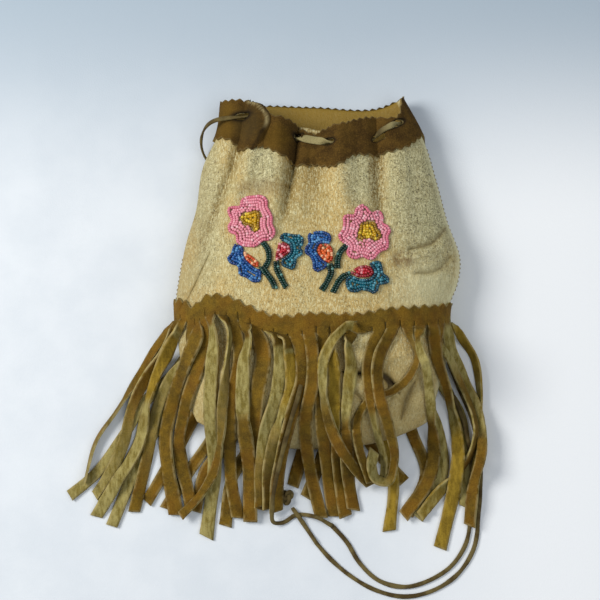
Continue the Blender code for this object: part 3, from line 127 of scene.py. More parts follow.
# Front strips in the order they lie: slot, route, tones (share, tone), turns (share, degrees) and width, a
# share of STRIP_WIDE
FRONT_STRIPS = (
    (0, ((-80, -16), (-92, -37), (-105, -58), (-117, -76), (-124, -104)),
     ((0, 0.05), (0.4, 0.15), (1, 0.3)),
     ((0, 0), (0.08, 40), (0.35, 20), (0.5, 70), (1, 75)), 0.8),
    (1, ((-75, -20), (-85, -33), (-95, -54), (-100, -76), (-108, -95), (-118, -111)),
     ((0, 0.05), (0.5, 0.2), (1, 0.4)),
     ((0, 0), (0.1, -40), (0.5, -15), (1, 20)), 0.95),
    (3, ((-58, -26), (-70, -36), (-79, -56), (-84, -80), (-89, -103), (-93, -121)),
     ((0, 0.05), (0.15, 0.35), (0.5, 0.3), (1, 0.1)),
     ((0, 0), (0.1, 45), (0.4, 10), (1, -10)), 0.95),
    (2, ((-68, -13), (-78, -30), (-85, -54), (-90, -78), (-103, -101), (-117, -124)),
     ((0, 0.05), (0.06, 0.3), (0.1, 0.9), (0.38, 0.85), (0.48, 0.3), (0.6, 0.5), (1, 0.55)),
     ((0, 0), (0.07, -60), (0.2, 10), (0.42, 75), (0.55, 20), (1, 0)), 1.05),
    (5, ((-46.5, -16), (-51.5, -34), (-60, -56), (-65, -77), (-63, -92), (-59, -107), (-57, -117)),
     ((0, 0), (1, 0.1)),
     ((0, 0), (0.2, -12), (1, 0)), 1.08),
    (4, ((-52, -14), (-58.5, -29), (-67, -48), (-73, -71), (-71, -95), (-66, -123)),
     ((0, 0.05), (1, 0.05)),
     ((0, 0), (0.15, 12), (1, 8)), 1.2),
    (8, ((-25, -28), (-30, -52), (-32, -78), (-31, -104), (-27, -125)),
     ((0, 0), (1, 0.1)),
     ((0, 0), (0.2, -12), (0.4, 0), (1, 0)), 1.06),
    (6, ((-41, -14), (-42.5, -38), (-43.5, -66), (-42, -92), (-44.5, -117), (-47, -137)),
     ((0, 0.05), (0.04, 0.1), (0.08, 0.55), (1, 0.5)),
     ((0, 0), (0.04, 66), (0.14, 50), (0.26, 8), (0.6, 10), (1, -8)), 1.15),
    (7, ((-32, -12), (-33.5, -32), (-35.5, -56), (-37.5, -80), (-43, -98), (-52, -113), (-63, -124)),
     ((0, 0.05), (0.05, 0.1), (0.09, 0.42), (0.25, 0.3), (0.6, 0.2), (0.75, 0.08), (1, 0.12)),
     ((0, 0), (0.05, -72), (0.24, -70), (0.4, -25), (0.6, 66), (0.75, 20), (0.85, 45), (1, 35)), 0.86),
    (10, ((-10.5, -26), (-13.5, -50), (-16, -74), (-17, -98), (-16, -119)),
     ((0, 0), (1, 0.1)),
     ((0, 0), (0.2, 8), (1, 10)), 1.26),
    (9, ((-19, -16), (-22, -32), (-23, -48), (-22, -68), (-19.5, -92), (-19, -127)),
     ((0, 0.05), (0.07, 0.05), (0.12, 0.55), (0.42, 0.5), (0.52, 0.08), (1, 0.05)),
     ((0, 0), (0.06, 70), (0.16, 55), (0.3, 5), (0.42, 0), (0.5, 45), (0.6, 0), (1, 0)), 1.2),
    (11, ((-5, -14), (0, -29), (-1.5, -48), (-8.5, -70), (-13, -96), (-13, -118)),
     ((0, 0.05), (0.08, 0.05), (0.13, 0.5), (0.55, 0.48), (0.75, 0.25), (1, 0.15)),
     ((0, 0), (0.04, -60), (0.1, -30), (0.2, -5), (0.5, -10), (0.72, 50), (1, 10)), 1.0),
    (12, ((2, -16), (6, -30), (7, -48), (-0.5, -69), (-7, -93), (-7.5, -119)),
     ((0, 0.05), (0.08, 0.05), (0.13, 0.85), (0.4, 0.8), (0.55, 0.3), (1, 0.15)),
     ((0, 0), (0.04, -60), (0.1, -30), (0.2, 0), (0.36, 0), (0.5, 60), (0.65, 10), (1, 0)), 1.05),
    (13, ((12.5, -22), (13, -42), (6.5, -65), (0.5, -88), (-2.5, -104), (-3, -121)),
     ((0, 0), (1, 0.05)),
     ((0, 0), (0.2, 12), (0.6, -20), (1, 0)), 1.04),
    (15, ((26, -24), (24.5, -42), (26, -68), (30, -96), (34, -124)),
     ((0, 0), (1, 0.1)),
     ((0, 0), (0.2, -12), (1, 0)), 1.08),
    (14, ((20, -26), (20, -44), (15.5, -68), (19, -96), (26, -125)),
     ((0, 0), (1, 0.05)),
     ((0, 0), (0.2, 10), (1, -8)), 1.08),
    (16, ((34, -18), (33.5, -40), (33.5, -66), (37, -97), (41, -124)),
     ((0, 0.05), (0.05, 0.1), (0.1, 0.9), (0.5, 0.85), (0.62, 0.1), (1, 0.05)),
     ((0, 0), (0.06, 68), (0.14, 45), (0.26, 8), (0.5, 12), (0.6, 50), (0.7, 0), (1, 0)), 1.06),
    (17, ((42, -18), (43.5, -36), (41, -62), (42, -94), (46, -120)),
     ((0, 0.05), (0.05, 0.1), (0.1, 0.7), (0.4, 0.6), (0.55, 0.1), (1, 0.05)),
     ((0, 0), (0.06, -68), (0.14, -50), (0.28, -8), (0.4, 0), (0.52, 50), (0.65, 0), (1, 0)), 1.04),
    (18, ((42, -9), (35, -16), (27.5, -29), (27, -50), (33, -74), (45, -93), (57, -104)),
     ((0, 0.05), (0.05, 0.1), (0.1, 0.7), (0.35, 0.65), (0.5, 0.3), (0.62, 0.1), (1, 0.08)),
     ((0, 0), (0.05, -25), (0.12, -50), (0.24, -5), (0.38, 20), (0.5, 62), (0.62, 25), (1, 0)), 0.9),
    (21, ((82, -16), (86, -27), (81, -39), (69, -49), (55, -55), (48, -66), (48.5, -80), (57, -103)),
     ((0, 0.05), (0.1, 0.25), (0.3, 0.12), (1, 0.1)),
     ((0, 0), (0.07, 66), (0.18, 64), (0.4, 20), (0.6, 30), (0.8, 0), (1, 0)), 0.8),
    (19, ((54, -34), (56, -55), (60, -72), (66, -90), (66, -102)),
     ((0, 0.02), (0.5, 0.05), (0.62, 0.4), (1, 0.35)),
     ((0, 0), (0.2, 14), (0.3, 0), (0.6, 55), (1, 60)), 0.95),
    (22, ((86, -18), (91.5, -38), (95.5, -62), (98, -84), (93, -103), (78, -124)),
     ((0, 0.05), (0.08, 0.1), (0.13, 0.5), (0.42, 0.42), (0.52, 0.02), (1, 0.1)),
     ((0, 0), (0.08, 72), (0.2, 35), (0.4, 30), (0.5, 60), (0.6, 10), (1, 10)), 1.05),
    (26, ((115, -8), (124, -20), (128, -40), (128, -60), (126, -78), (123, -96)),
     ((0, 0.5), (0.08, 0.95), (0.35, 0.8), (0.6, 0.45), (1, 0.3)),
     ((0, 0), (0.08, 35), (0.2, 50), (0.4, 65), (0.6, 75), (1, 70)), 0.9),
    (25, ((107, -18), (117, -36), (126, -57), (128, -80), (123, -102), (120, -130)),
     ((0, 0.15), (0.06, 0.55), (0.35, 0.65), (0.5, 0.45), (0.6, 0.15), (1, 0.1)),
     ((0, 0), (0.12, 20), (0.3, 15), (0.45, 50), (0.6, 40), (1, 15)), 1.05),
    (24, ((99, -14), (109, -30), (118, -47), (123, -63), (122, -80), (113, -96), (102, -107), (88, -124)),
     ((0, 0.05), (0.08, 0.1), (0.14, 0.45), (0.3, 0.2), (0.75, 0.2), (0.85, 0.7), (1, 0.7)),
     ((0, 0), (0.09, -66), (0.25, -50), (0.5, -62), (0.75, -60), (0.85, -20), (1, 0)), 0.95),
    (20, ((60, -32), (61, -53), (68, -72), (72, -90), (68, -103), (60, -101), (57, -92), (59, -84)),
     ((0, 0.0), (0.7, 0.05), (0.85, 0.4), (1, 0.45)),
     ((0, 0), (0.2, -14), (0.4, 20), (0.75, 50), (1, 10)), 0.98),
    (23, ((98, -26), (107, -48), (113, -73), (110.5, -104), (101, -144)),
     ((0, 0.02), (0.3, 0.04), (0.42, 0.6), (0.55, 0.95), (1, 0.85)),
     ((0, 0), (0.15, 20), (0.25, 40), (0.38, 62), (0.5, 0), (1, 0)), 1.12),
)
# Back strips from left to right: route and tone
BACK_STRIPS = (
    (((-68, -32), (-88, -52), (-100, -72), (-118, -97), (-134, -111)), 0.4),
    (((-60, -40), (-76, -62), (-89, -86), (-107, -130)), 0.45),
    (((-46, -42), (-60, -70), (-73, -94), (-85, -115)), 0.1),
    (((-31, -42), (-43, -72), (-60, -98), (-73, -119)), 0.12),
    (((-17, -42), (-30, -72), (-48, -96), (-54, -121)), 0.05),
    (((-4, -42), (-16, -74), (-31, -100), (-35, -130)), 0.1),
    (((9, -42), (2, -76), (-8, -98), (-15, -114)), 0.15),
    (((19, -42), (15, -78), (8, -105)), 0.1),
    (((30, -42), (28, -80), (16, -112)), 0.08),
    (((41, -42), (42, -76), (54, -100)), 0.12),
    (((52, -42), (55, -74), (68, -90), (79, -102)), 0.08),
    (((63, -42), (68, -72), (72, -104), (69, -133)), 0.9),
    (((76, -40), (84, -70), (93, -98), (81, -123)), 0.1),
    (((88, -38), (99, -64), (103, -96), (87, -125)), 0.45),
    (((101, -34), (115, -60), (118, -90), (117, -118)), 0.5),
)

# The lace's route: on the floor, its two ends over the strips, and the climb to the mouth
TAIL_ONE = ((-47, 107), (-36, 109), (-20, 113), (0, 116), (40, 117), (76, 104), (94, 88), (101, 60),
            (104, 38), (101, 18), (99, 0), (101.5, -20), (107, -38), (116, -60), (121, -84), (121, -120),
            (117, -142), (108, -155), (96, -163), (78, -168), (62, -164), (50, -153), (42, -140),
            (33, -130))
TAIL_TWO = ((-22, 126), (20, 125), (60, 119), (84, 104), (99, 88), (106, 60), (109, 38), (106, 18),
            (104, 0), (107, -20), (113, -38), (122, -60), (127, -86), (126, -121), (122, -145),
            (112, -160), (99, -169), (78, -174), (60, -170), (44, -161), (31, -150), (23, -141))
END_ONE = ((33, -130), (21, -124), (10, -123), (1, -128), (-4, -128), (-5, -118), (-3, -104), (1, -88),
           (6, -70), (11, -54), (13, -46))
END_TWO = ((23, -141), (17, -132), (10, -122), (7.5, -118.5))
CLIMB = ((-50.5, 111, 4), (-52.5, 118, 10), (-50.5, 125, 17), (-45.5, 129, 23))
KNOT = (4.0, -111.5)

# Beadwork: outline of each field
ROSE_LEFT = ((-24.4, 74.5), (-21, 75.9), (-16.6, 76.2), (-12.1, 76.2), (-9.2, 74.9), (-7.3, 72.2),
             (-7.1, 68.4), (-5.6, 64.6), (-4.3, 60.8), (-4.5, 56.3), (-3.2, 51.8), (-3.5, 48),
             (-6.1, 45.7), (-9.8, 45.3), (-12.4, 43.5), (-15.3, 41.3), (-19.4, 41.6), (-23.8, 42.7),
             (-26.8, 45.3), (-27.5, 49.9), (-31.6, 51.8), (-32.9, 55.5), (-31.3, 60.1), (-33.2, 64.6),
             (-32.9, 68.4), (-29.9, 70), (-25.8, 70), (-25.3, 73))
ROSE_LEFT_HEART = ((-23.6, 63.5), (-19.5, 64.6), (-13.6, 65.4), (-12.1, 62.4), (-12.4, 57.8),
                   (-13.1, 53.3), (-16.1, 51.8), (-17.6, 54.8), (-21.7, 56.3), (-24.5, 60.1))
ROSE_RIGHT = ((51.7, 69.6), (54.6, 67.7), (56.8, 64.6), (60.5, 66.2), (64.2, 64.3), (65.7, 60.8),
              (64.9, 57.8), (68.6, 55.5), (69.7, 52.5), (67.8, 48), (68.1, 44.2), (67, 39.7),
              (63.3, 38.2), (60.7, 35.9), (58.8, 33.4), (55.1, 32.9), (51.4, 34.4), (47.7, 33.3),
              (44.1, 33.7), (41.1, 37.4), (41.9, 40.8), (37.5, 45), (36.4, 48.4), (38.6, 52.5),
              (39.4, 57.1), (39.4, 60.8), (42, 62.4), (45.3, 62.4), (46.5, 66.2), (49.1, 68.8))
ROSE_RIGHT_HEART = ((50.1, 56.3), (54.5, 57.8), (59, 57.1), (60.4, 53.3), (62.6, 49.9), (62.2, 46.8),
                    (58.9, 45.7), (55.9, 46.8), (53, 46.5), (49.7, 45.3), (48.6, 48), (49.7, 52.5))
BUD_LEFT_BLUE = ((-28.2, 43.8), (-24.9, 43.1), (-22.3, 40.1), (-22.5, 37.4), (-21.4, 34), (-18.6, 30.7),
                 (-15.2, 27.8), (-11.8, 26.3), (-11.3, 23.2), (-12.3, 19), (-15.6, 18.5), (-20.7, 21.7),
                 (-24.8, 23.9), (-25.9, 28.4), (-30.7, 31.4), (-32.5, 35.2), (-30.4, 38.2), (-29.7, 41.2))
BUD_LEFT_ORANGE = ((-22.3, 38.8), (-19.7, 37.4), (-16.4, 35.2), (-13.8, 32.2), (-12.1, 28.6),
                   (-14.9, 28.6), (-18.6, 31), (-21.4, 34.4))
BUD_LEFT_TEAL = ((0.5, 48.7), (3.5, 50.2), (7.9, 49.3), (12.4, 48.7), (14.4, 46.5), (14.3, 42.3),
                 (13.2, 40.4), (14.2, 38.2), (13.8, 35.9), (10.9, 33.7), (10.2, 29.9), (8.7, 26.5),
                 (4.6, 27.3), (1.3, 29.5), (0.6, 32.6), (3.5, 34.6), (6.5, 38.2), (6.1, 41.9),
                 (2.8, 44.4), (-0.2, 45))
BUD_LEFT_RED = ((-0.9, 43.8), (2.8, 44.2), (5.7, 42.3), (6.6, 38.9), (3.5, 35.5), (0.6, 33.3), (-2, 32.2),
                (-2.7, 35.2), (-1.7, 39.7))
BUD_RIGHT_BLUE = ((18.3, 50.2), (22.7, 51.4), (27.9, 51.2), (31.6, 49.1), (32.3, 45.7), (30.5, 43.1),
                  (27.1, 43.1), (24.2, 41.9), (22.8, 38.9), (24.2, 35.9), (26.7, 32.5), (29.3, 30.3),
                  (28.9, 28), (26, 25.8), (22.7, 24.7), (20.5, 26.9), (20.1, 31.4), (18.6, 34.4),
                  (15.9, 36.7), (15.3, 40.4), (17.5, 43.1), (17.2, 47.2))
BUD_RIGHT_ORANGE = ((24.9, 42.3), (28.2, 43.1), (31.9, 41.2), (33, 37.4), (32.9, 33.7), (31.5, 30.7),
                    (28.6, 31.4), (25.6, 34.4), (23.3, 38.9))
BUD_RIGHT_TEAL = ((55.8, 30.3), (58.8, 32.2), (62.5, 32.2), (63.9, 28.4), (64.2, 24.7), (67.5, 22),
                  (67.5, 19.4), (63.8, 17.5), (61.6, 17.2), (60.8, 13.4), (57.9, 11.2), (54.2, 12.7),
                  (50.2, 13.1), (46.9, 11.9), (42.5, 13.1), (40.7, 16.4), (41, 20.9), (44, 22.6),
                  (47.7, 21.3), (52.8, 21.1), (56.9, 22.3), (58.1, 25), (56.9, 28))
BUD_RIGHT_RED = ((44, 24.3), (45.9, 26.9), (49.9, 28.8), (54.3, 29.2), (56.9, 27.3), (58, 24.7),
                 (56.1, 22.3), (51.3, 21.5), (46.9, 22.3))
STEMS = {
    "stem_left_1": ((-9.9, 44), (-7.9, 41), (-6.8, 37.4), (-6.8, 32.9), (-9, 28.8)),
    "stem_left_2": ((-11, 28), (-8.2, 23.9), (-5.3, 20.2), (-2.9, 14.2)),
    "stem_left_3": ((-1.9, 31.4), (-1.6, 26.9), (0.5, 21.7), (4.4, 14.9)),
    "stem_right_1": ((40.8, 41.8), (37.4, 37.4), (35.9, 32.4), (35.6, 27.2)),
    "stem_right_2": ((31, 29.4), (31.6, 24.7), (29.8, 19.4), (25.8, 13.4)),
    "stem_right_3": ((42.8, 23.6), (39.6, 22.2), (36.2, 18.4), (32.6, 11.6)),
}


def run_along(points):
    """Length along a line of points, from its first point to each."""
    return np.concatenate([[0], np.cumsum(np.linalg.norm(np.diff(points, axis=0), axis=1))])


def unit(vectors):
    """Vectors divided by their lengths."""
    return vectors / np.linalg.norm(vectors, axis=-1, keepdims=True)


def quarter_turn(plane):
    """Plan vectors turned a quarter anticlockwise."""
    return np.stack([-plane[:, 1], plane[:, 0]], 1)


def eased(share):
    """0 to 1 with level ends: three squares less two cubes."""
    return share ** 2 * (3 - 2 * share)


def blurred(values, count):
    """Running mean over count values, the end values repeated."""
    return np.convolve(np.pad(values, count // 2, mode="edge"), np.ones(count) / count, mode="valid")


def pairs(table):
    """Cubic Hermite curve through (place, value) pairs with central slopes, flat beyond its ends."""
    place, value = np.array(table, float).T
    slope = np.gradient(value, place)

    def at(where):
        where = np.clip(where, place[0], place[-1])
        i = np.clip(np.searchsorted(place, where) - 1, 0, len(place) - 2)
        step = place[i + 1] - place[i]
        t = (where - place[i]) / step
        ends = (1 + 2 * t) * (1 - t) ** 2 * value[i] + t * t * (3 - 2 * t) * value[i + 1]
        return ends + step * (t * (1 - t) ** 2 * slope[i] - t * t * (1 - t) * slope[i + 1])
    return at


def spline(points, count):
    """count points evenly spaced along the Hermite curve through the given points."""
    points = np.array(points, float)
    run = run_along(points)
    fine = np.linspace(0, run[-1], 12 * len(points))
    dense = np.stack([pairs(np.stack([run, column], 1))(fine) for column in points.T], 1)
    length = run_along(dense)
    even = np.linspace(0, length[-1], count)
    return np.stack([np.interp(even, length, column) for column in dense.T], 1)


def closed_line(outline, count):
    """count points evenly spaced round a smooth closed outline, anticlockwise."""
    points = np.array([*outline[-2:], *outline, *outline[:3]], float)
    run = run_along(points)
    where = np.linspace(run[2], run[2 + len(outline)], 20 * count + 1)
    dense = np.stack([pairs(np.stack([run, column], 1))(where) for column in points.T], 1)
    length = run_along(dense)
    even = np.linspace(0, length[-1], count, endpoint=False)
    line = np.stack([np.interp(even, length, column) for column in dense.T], 1)
    x, y = (line - line.mean(axis=0)).T
    turn = (x * np.roll(y, -1) - y * np.roll(x, -1)).sum()
    return line if turn > 0 else line[::-1]


def waves(x, y, size, seed, count=14):
    """Smooth random field of about -1 to 1: a sum of sine waves of about one size in random directions."""
    pick = np.random.default_rng(seed)
    turn, phase = pick.uniform(0, np.pi, count), pick.uniform(0, 2 * np.pi, count)
    pace = 2 * np.pi / size * pick.uniform(0.6, 1.5, count)
    total = 0
    for a, p, k in zip(turn, phase, pace):
        total = total + np.sin((x * np.cos(a) + y * np.sin(a)) * k + p)
    return total / np.sqrt(count * 2)


def near_line(x, y, points, wide):
    """Bell-shaped closeness, 0 to 1, to a line through points, thinner towards the line's ends."""
    count, blunt = 40, 0.12
    far = np.full(np.broadcast(x, y).shape, 1e9)
    for (px, py), thin in zip(spline(points, count), np.sin(np.linspace(blunt, np.pi - blunt, count))):
        far = np.minimum(far, ((x - px) ** 2 + (y - py) ** 2) / thin)
    return np.exp(-far / wide ** 2)


left_edge, right_edge = pairs(LEFT_EDGE), pairs(RIGHT_EDGE)
front_rim, back_rim = pairs(FRONT_RIM), pairs(BACK_RIM)
collar_low, collar_rise, band_top = pairs(COLLAR_LOW), pairs(COLLAR_RISE), pairs(BAND_TOP)
top_height = pairs(((-90, 0.77 * BODY_HEIGHT), (-45, 0.96 * BODY_HEIGHT), (0, BODY_HEIGHT),
                    (45, 0.92 * BODY_HEIGHT), (90, MOUTH_HEIGHT + 8), (120, MOUTH_HEIGHT + 2),
                    (150, MOUTH_HEIGHT)))
FOLD_LINES = [(depth, wide, pairs([(y, x) for y, x, s in line]), pairs([(y, s) for y, x, s in line]))
              for depth, wide, line in FOLDS]
ear_line = pairs(EAR)
# Fine gathers under the collar: x, width and height
rng = np.random.default_rng(7)
GATHERS = list(zip(*[rng.uniform(low, high, 26) for low, high in ((-40, 90), (1.5, 3.2), (-0.8, 0.7))]))


def bottom_edge(across):
    """y of the bottom seam, lowest in the middle."""
    return LEFT_EDGE[0][0] - BOTTOM_SAG * (1 - np.minimum(np.abs(across), 1) ** 2.4)


def along_at(across, y, rim):
    """The along value, 0 at the bottom and 1 at the rim, that lands on y."""
    low = bottom_edge(across)
    return (y - low) / (rim(across) - low)


def across_at(x, y):
    """The across value, -1 to 1 between the side edges, that lands on x."""
    left, right = left_edge(y), right_edge(y)
    return (2 * x - left - right) / (right - left)


def plan(across, along, rim):
    """Floor place for across and along."""
    low = bottom_edge(across)
    y = low + (rim(across) - low) * along
    left, right = left_edge(y), right_edge(y)
    return (left + right) / 2 + across * (right - left) / 2, y


def fine_relief(x, y):
    """Small relief of the front: gathers under the collar, drawn creases, unevenness, waves at the foot."""
    fade = np.clip((y - 52) / 50, 0, 1) ** 1.5
    total = 0.28 * waves(x, y, 16, 3) + 0.12 * waves(x, y * 0.6, 6, 5)
    for at, wide, high in GATHERS:
        off = x - at - 0.05 * (y - 100) * np.sign(at - 20)
        total = total + 0.8 * high * fade * np.exp(-(off / wide) ** 2)
    for high, wide, line in CREASES:
        total = total + high * near_line(x, y, line, wide)
    foot = np.clip((-50 - y) / 30, 0, 1)
    return total + foot * 0.9 * np.sin(x * 0.55 + 1.5 * np.sin(x * 0.13))


class Field:
    """A function of the plan held on a square grid and read between its points."""

    def __init__(self, function, box=(-80, 130, -95, 160), cell=0.5):
        self.low, self.cell = np.array((box[0], box[2]), float), cell
        x, y = np.meshgrid(np.arange(box[0], box[1], cell), np.arange(box[2], box[3], cell), indexing="ij")
        self.value = function(x, y)

    def __call__(self, x, y):
        """Value at each place, mixed from the four grid points around it."""
        i = np.clip((x - self.low[0]) / self.cell, 0, self.value.shape[0] - 1.001)
        j = np.clip((y - self.low[1]) / self.cell, 0, self.value.shape[1] - 1.001)
        a, b = i.astype(int), j.astype(int)
        s, t = i - a, j - b
        low = self.value[a, b] * (1 - s) + self.value[a + 1, b] * s
        high = self.value[a, b + 1] * (1 - s) + self.value[a + 1, b + 1] * s
        return low * (1 - t) + high * t


def crease_depth(x, y):
    """How deep in a crease each place is, 0 to 1, for painted shade; creases under 2 mm deep are left out."""
    deep = [crease for crease in CREASES if crease[0] < -2]
    return np.clip(sum(-high * near_line(x, y, line, 1.5 * wide) for high, wide, line in deep) / 3.6, 0, 1)


relief, creased = Field(fine_relief), Field(crease_depth)


def ear_step(x, y):
    """The collar's left ear, folded over: a rise to the left of its line that ends in a sharp drop."""
    tall = 3.6 * np.clip((y - 103) / 14, 0, 1)
    side = ear_line(y) - x
    return tall / (1 + np.exp(-side / 0.45)) * np.exp(-np.maximum(side, 0) / 16)


def fold_sum(x, y):
    """Big folds of the front: bell-shaped valleys and crests along their lines."""
    folds = 0
    for depth, wide, line, strength in FOLD_LINES:
        folds = folds + depth * strength(y) * np.exp(-((x - line(y)) / wide) ** 2)
    return folds


def front_inside(across, along):
    """Inner face of the front: seam height plus a rounded share of the crown height with its folds."""
    across, along = np.broadcast_arrays(across, along)
    x, y = plan(across, along, front_rim)
    side = (1 - np.minimum(np.abs(across), 1) ** 2.6) ** 0.55
    reach = np.clip(along * PANEL_RUN / BOTTOM_ROUND, 0, 1)
    rise = side * (1 - (1 - reach) ** 2.4) ** 0.55
    seam = SEAM_HEIGHT + GAP / 2
    z = seam + (top_height(y) - seam + fold_sum(x, y)) * rise
    soft = np.clip(rise * 1.4, 0, 1)
    return np.stack([x, y, z + (relief(x, y) + ear_step(x, y)) * soft], -1)


def back_inside(across, along):
    """Inner face of the back: flat on the floor, lifted over what lies under it, its edges turned up."""
    across, along = np.broadcast_arrays(across, along)
    x, y = plan(across, along, back_rim)
    side = (1 - np.clip((np.abs(across) - 0.45) / 0.55, 0, 1) ** 3) ** 0.5
    end = (1 - (1 - np.clip(along * PANEL_RUN / BACK_ROUND, 0, 1)) ** 3) ** 0.5
    neck, band = eased(np.clip((y - 64) / 20, 0, 1)), eased(np.clip((24 - y) / 16, 0, 1))
    lift = HIDE + neck * (NECK_LIFT - HIDE) + band * (BAND_LIFT - HIDE)
    seam = SEAM_HEIGHT - GAP / 2
    return np.stack([x, y, seam - (seam - lift) * side * end], -1)


def out_of(face, across, along, sign):
    """Unit normal of a panel's face, out of the pouch, from differences of the face."""
    step = 0.01
    across, along = np.clip(across, -0.989, 0.989), np.maximum(along, 0.0101)
    d_across = face(across + step, along) - face(across - step, along)
    d_along = face(across, along + step) - face(across, along - step)
    return unit(np.cross(d_across, d_along) * sign)


def over(face, across, along, distance, sign):
    """A panel's face moved out of the pouch by a distance."""
    across, along = np.broadcast_arrays(across, along)
    return face(across, along) + out_of(face, across, along, sign) * np.asarray(distance)[..., None]


def on_front(x, y, distance):
    """The place at a distance over the inner front face above a plan point, and the normal there."""
    across = across_at(x, y)
    along = along_at(across, y, front_rim)
    normal = out_of(front_inside, across, along, 1)
    return front_inside(across, along) + normal * np.asarray(distance)[..., None], normal


# Meshes

def put_mesh(name, points, quads, look, marks=None, uv=None, skin=False):
    """A mesh object from points in mm and quads, with point marks and a UV map.

    A skin is shaded smooth on its top and under grids and flat on the walls between them.
    """
    smooth = (quads < len(points) // 2).sum(axis=1) % 4 == 0 if skin else np.ones(len(quads), bool)
    used, quads = np.unique(quads, return_inverse=True)
    quads = quads.reshape(-1, 4)
    points = points[used] + SHIFT
    points[:, 2] = np.maximum(points[:, 2], 0.03)
    mesh = bpy.data.meshes.new(name)
    mesh.vertices.add(len(points))
    mesh.vertices.foreach_set("co", (points * 0.001).ravel())
    mesh.loops.add(quads.size)
    mesh.loops.foreach_set("vertex_index", quads.ravel().astype(np.int32))
    mesh.polygons.add(len(quads))
    mesh.polygons.foreach_set("loop_start", np.arange(0, quads.size, 4, dtype=np.int32))
    mesh.polygons.foreach_set("use_smooth", smooth)
    for mark, values in (marks or {}).items():
        layer = mesh.attributes.new(mark, "FLOAT", "POINT")
        layer.data.foreach_set("value", values[used].astype(np.float32))
    if uv is not None:
        layer = mesh.uv_layers.new(name="UVMap")
        layer.data.foreach_set("uv", uv[used][quads.ravel()].astype(np.float32).ravel())
    mesh.update(calc_edges=True)
    mesh.validate()
    thing = bpy.data.objects.new(name, mesh)
    bpy.context.scene.collection.objects.link(thing)
    mesh.materials.append(look)
    return thing


def skin_quads(rows, cols, ring=False, keep=None, turned=False):
    """Quads of a closed skin: a top grid, an under grid after it turned over, and walls where quads end.

    A ring's last column joins its first; keep masks the quads that stay.
    """
    spot = np.arange(rows * cols).reshape(rows, cols)
    if ring:
        a, b = spot, np.roll(spot, -1, axis=1)
    else:
        a, b = spot[:, :-1], spot[:, 1:]
    a, b, d, c = a[:-1], b[:-1], a[1:], b[1:]
    keep = np.ones(a.shape, bool) if keep is None else keep
    held = np.pad(keep, ((1, 1), (0, 0)))
    held = np.concatenate([held[:, -1:] * ring, held, held[:, :1] * ring], 1).astype(bool)
    below = rows * cols
    sides = ((a, b, held[:-2, 1:-1]), (b, c, held[1:-1, 2:]), (c, d, held[2:, 1:-1]), (d, a, held[1:-1, :-2]))
    walls = [np.stack([q, p, p + below, q + below], -1)[keep & ~beside] for p, q, beside in sides]
    top, under = np.stack([a, b, c, d], -1)[keep], np.stack([a, d, c, b], -1)[keep] + below
    quads = np.concatenate([top, under, *walls])
    return quads[:, ::-1] if turned else quads


def both(top, under):
    """Points or marks of a skin: the top grid's, then the under grid's."""
    return np.concatenate([top.reshape(-1, *top.shape[2:]), under.reshape(-1, *under.shape[2:])])


def teeth(run, pinking):
    """Pinked edge: a zigzag of that (pitch, depth), from 0 to its depth and back in each pitch."""
    pitch, depth = pinking
    return depth * np.abs((run / pitch) % 1 - 0.5) * 2


def under_only(shape):
    """The mark of a skin's under grid: 0 on the top grid and 1 on the under grid, each of that shape."""
    return both(np.zeros(shape), np.ones(shape))


def seat(thing, slot, *nodes):
    """Let a piece ride with the pouch and stand for its CAD nodes; the slot is not used."""
    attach(thing, "root")
    if nodes:
        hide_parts(*nodes)
    return thing


# Hide panels and collar

class Hole:
    """A slotted lace hole, an ellipse on a panel's skin that is long the way the lace runs."""

    def __init__(self, face, rim, sign, across, level):
        before, self.middle, after = [over(face, a, along_at(a, level(a), rim), HIDE, sign)
                                      for a in (across - 0.03, across, across + 0.03)]
        self.normal = out_of(face, across, along_at(across, level(across), rim), sign)
        self.run = unit(after - before)
        self.side = np.cross(self.normal, self.run)

    def spread(self, points):
        """Each point's distance as a share of the ellipse, and its vector in the ellipse's plane.

        Points more than 7 mm off the plane belong to another wall and count as far away.
        """
        away = points - self.middle
        u, v = away @ self.run, away @ self.side
        far = np.sqrt((u / (HOLE_LONG / 2)) ** 2 + (v / (HOLE_WIDE / 2)) ** 2)
        far = far + 10 * (np.abs(away @ self.normal) > 7)
        return far, u[..., None] * self.run + v[..., None] * self.side


def meeting(quads):
    """The marks of the four quads that meet at each point of a grid, each quad marked at its first corner."""
    return quads, np.roll(quads, 1, 0), np.roll(quads, 1, 1), np.roll(np.roll(quads, 1, 0), 1, 1)


def pierce(top, under, holes):
    """Mask of the quads outside every hole; the points round each hole move onto its ellipse."""
    keep = np.ones(top.shape[:2], bool)
    for hole in holes:
        far, flat = hole.spread(top)
        quad = (far + np.roll(far, -1, 1) + np.roll(far, -1, 0) + np.roll(np.roll(far, -1, 0), -1, 1)) / 4
        gone = (quad < 1) & (np.arange(len(top)) < len(top) - 1)[:, None]
        edge = np.any(meeting(gone), axis=0) & ~np.all(meeting(gone), axis=0)
        shift = flat[edge] * (1 / np.maximum(far[edge], 0.2) - 1)[:, None]
        top[edge] += shift
        under[edge] += shift
        keep &= ~gone
    return keep[:-1]


def spaced(count):
    """Places from -1 to 1, closer together towards both ends: part even, part sine."""
    ends = 0.45
    t = np.linspace(-1, 1, count)
    return (1 - ends) * t + ends * np.sin(t * np.pi / 2)


def risen(count):
    """Places from 0 at the bottom seam to 1 at the rim, closer together near the seam."""
    return np.linspace(0, 1, count) ** 1.2


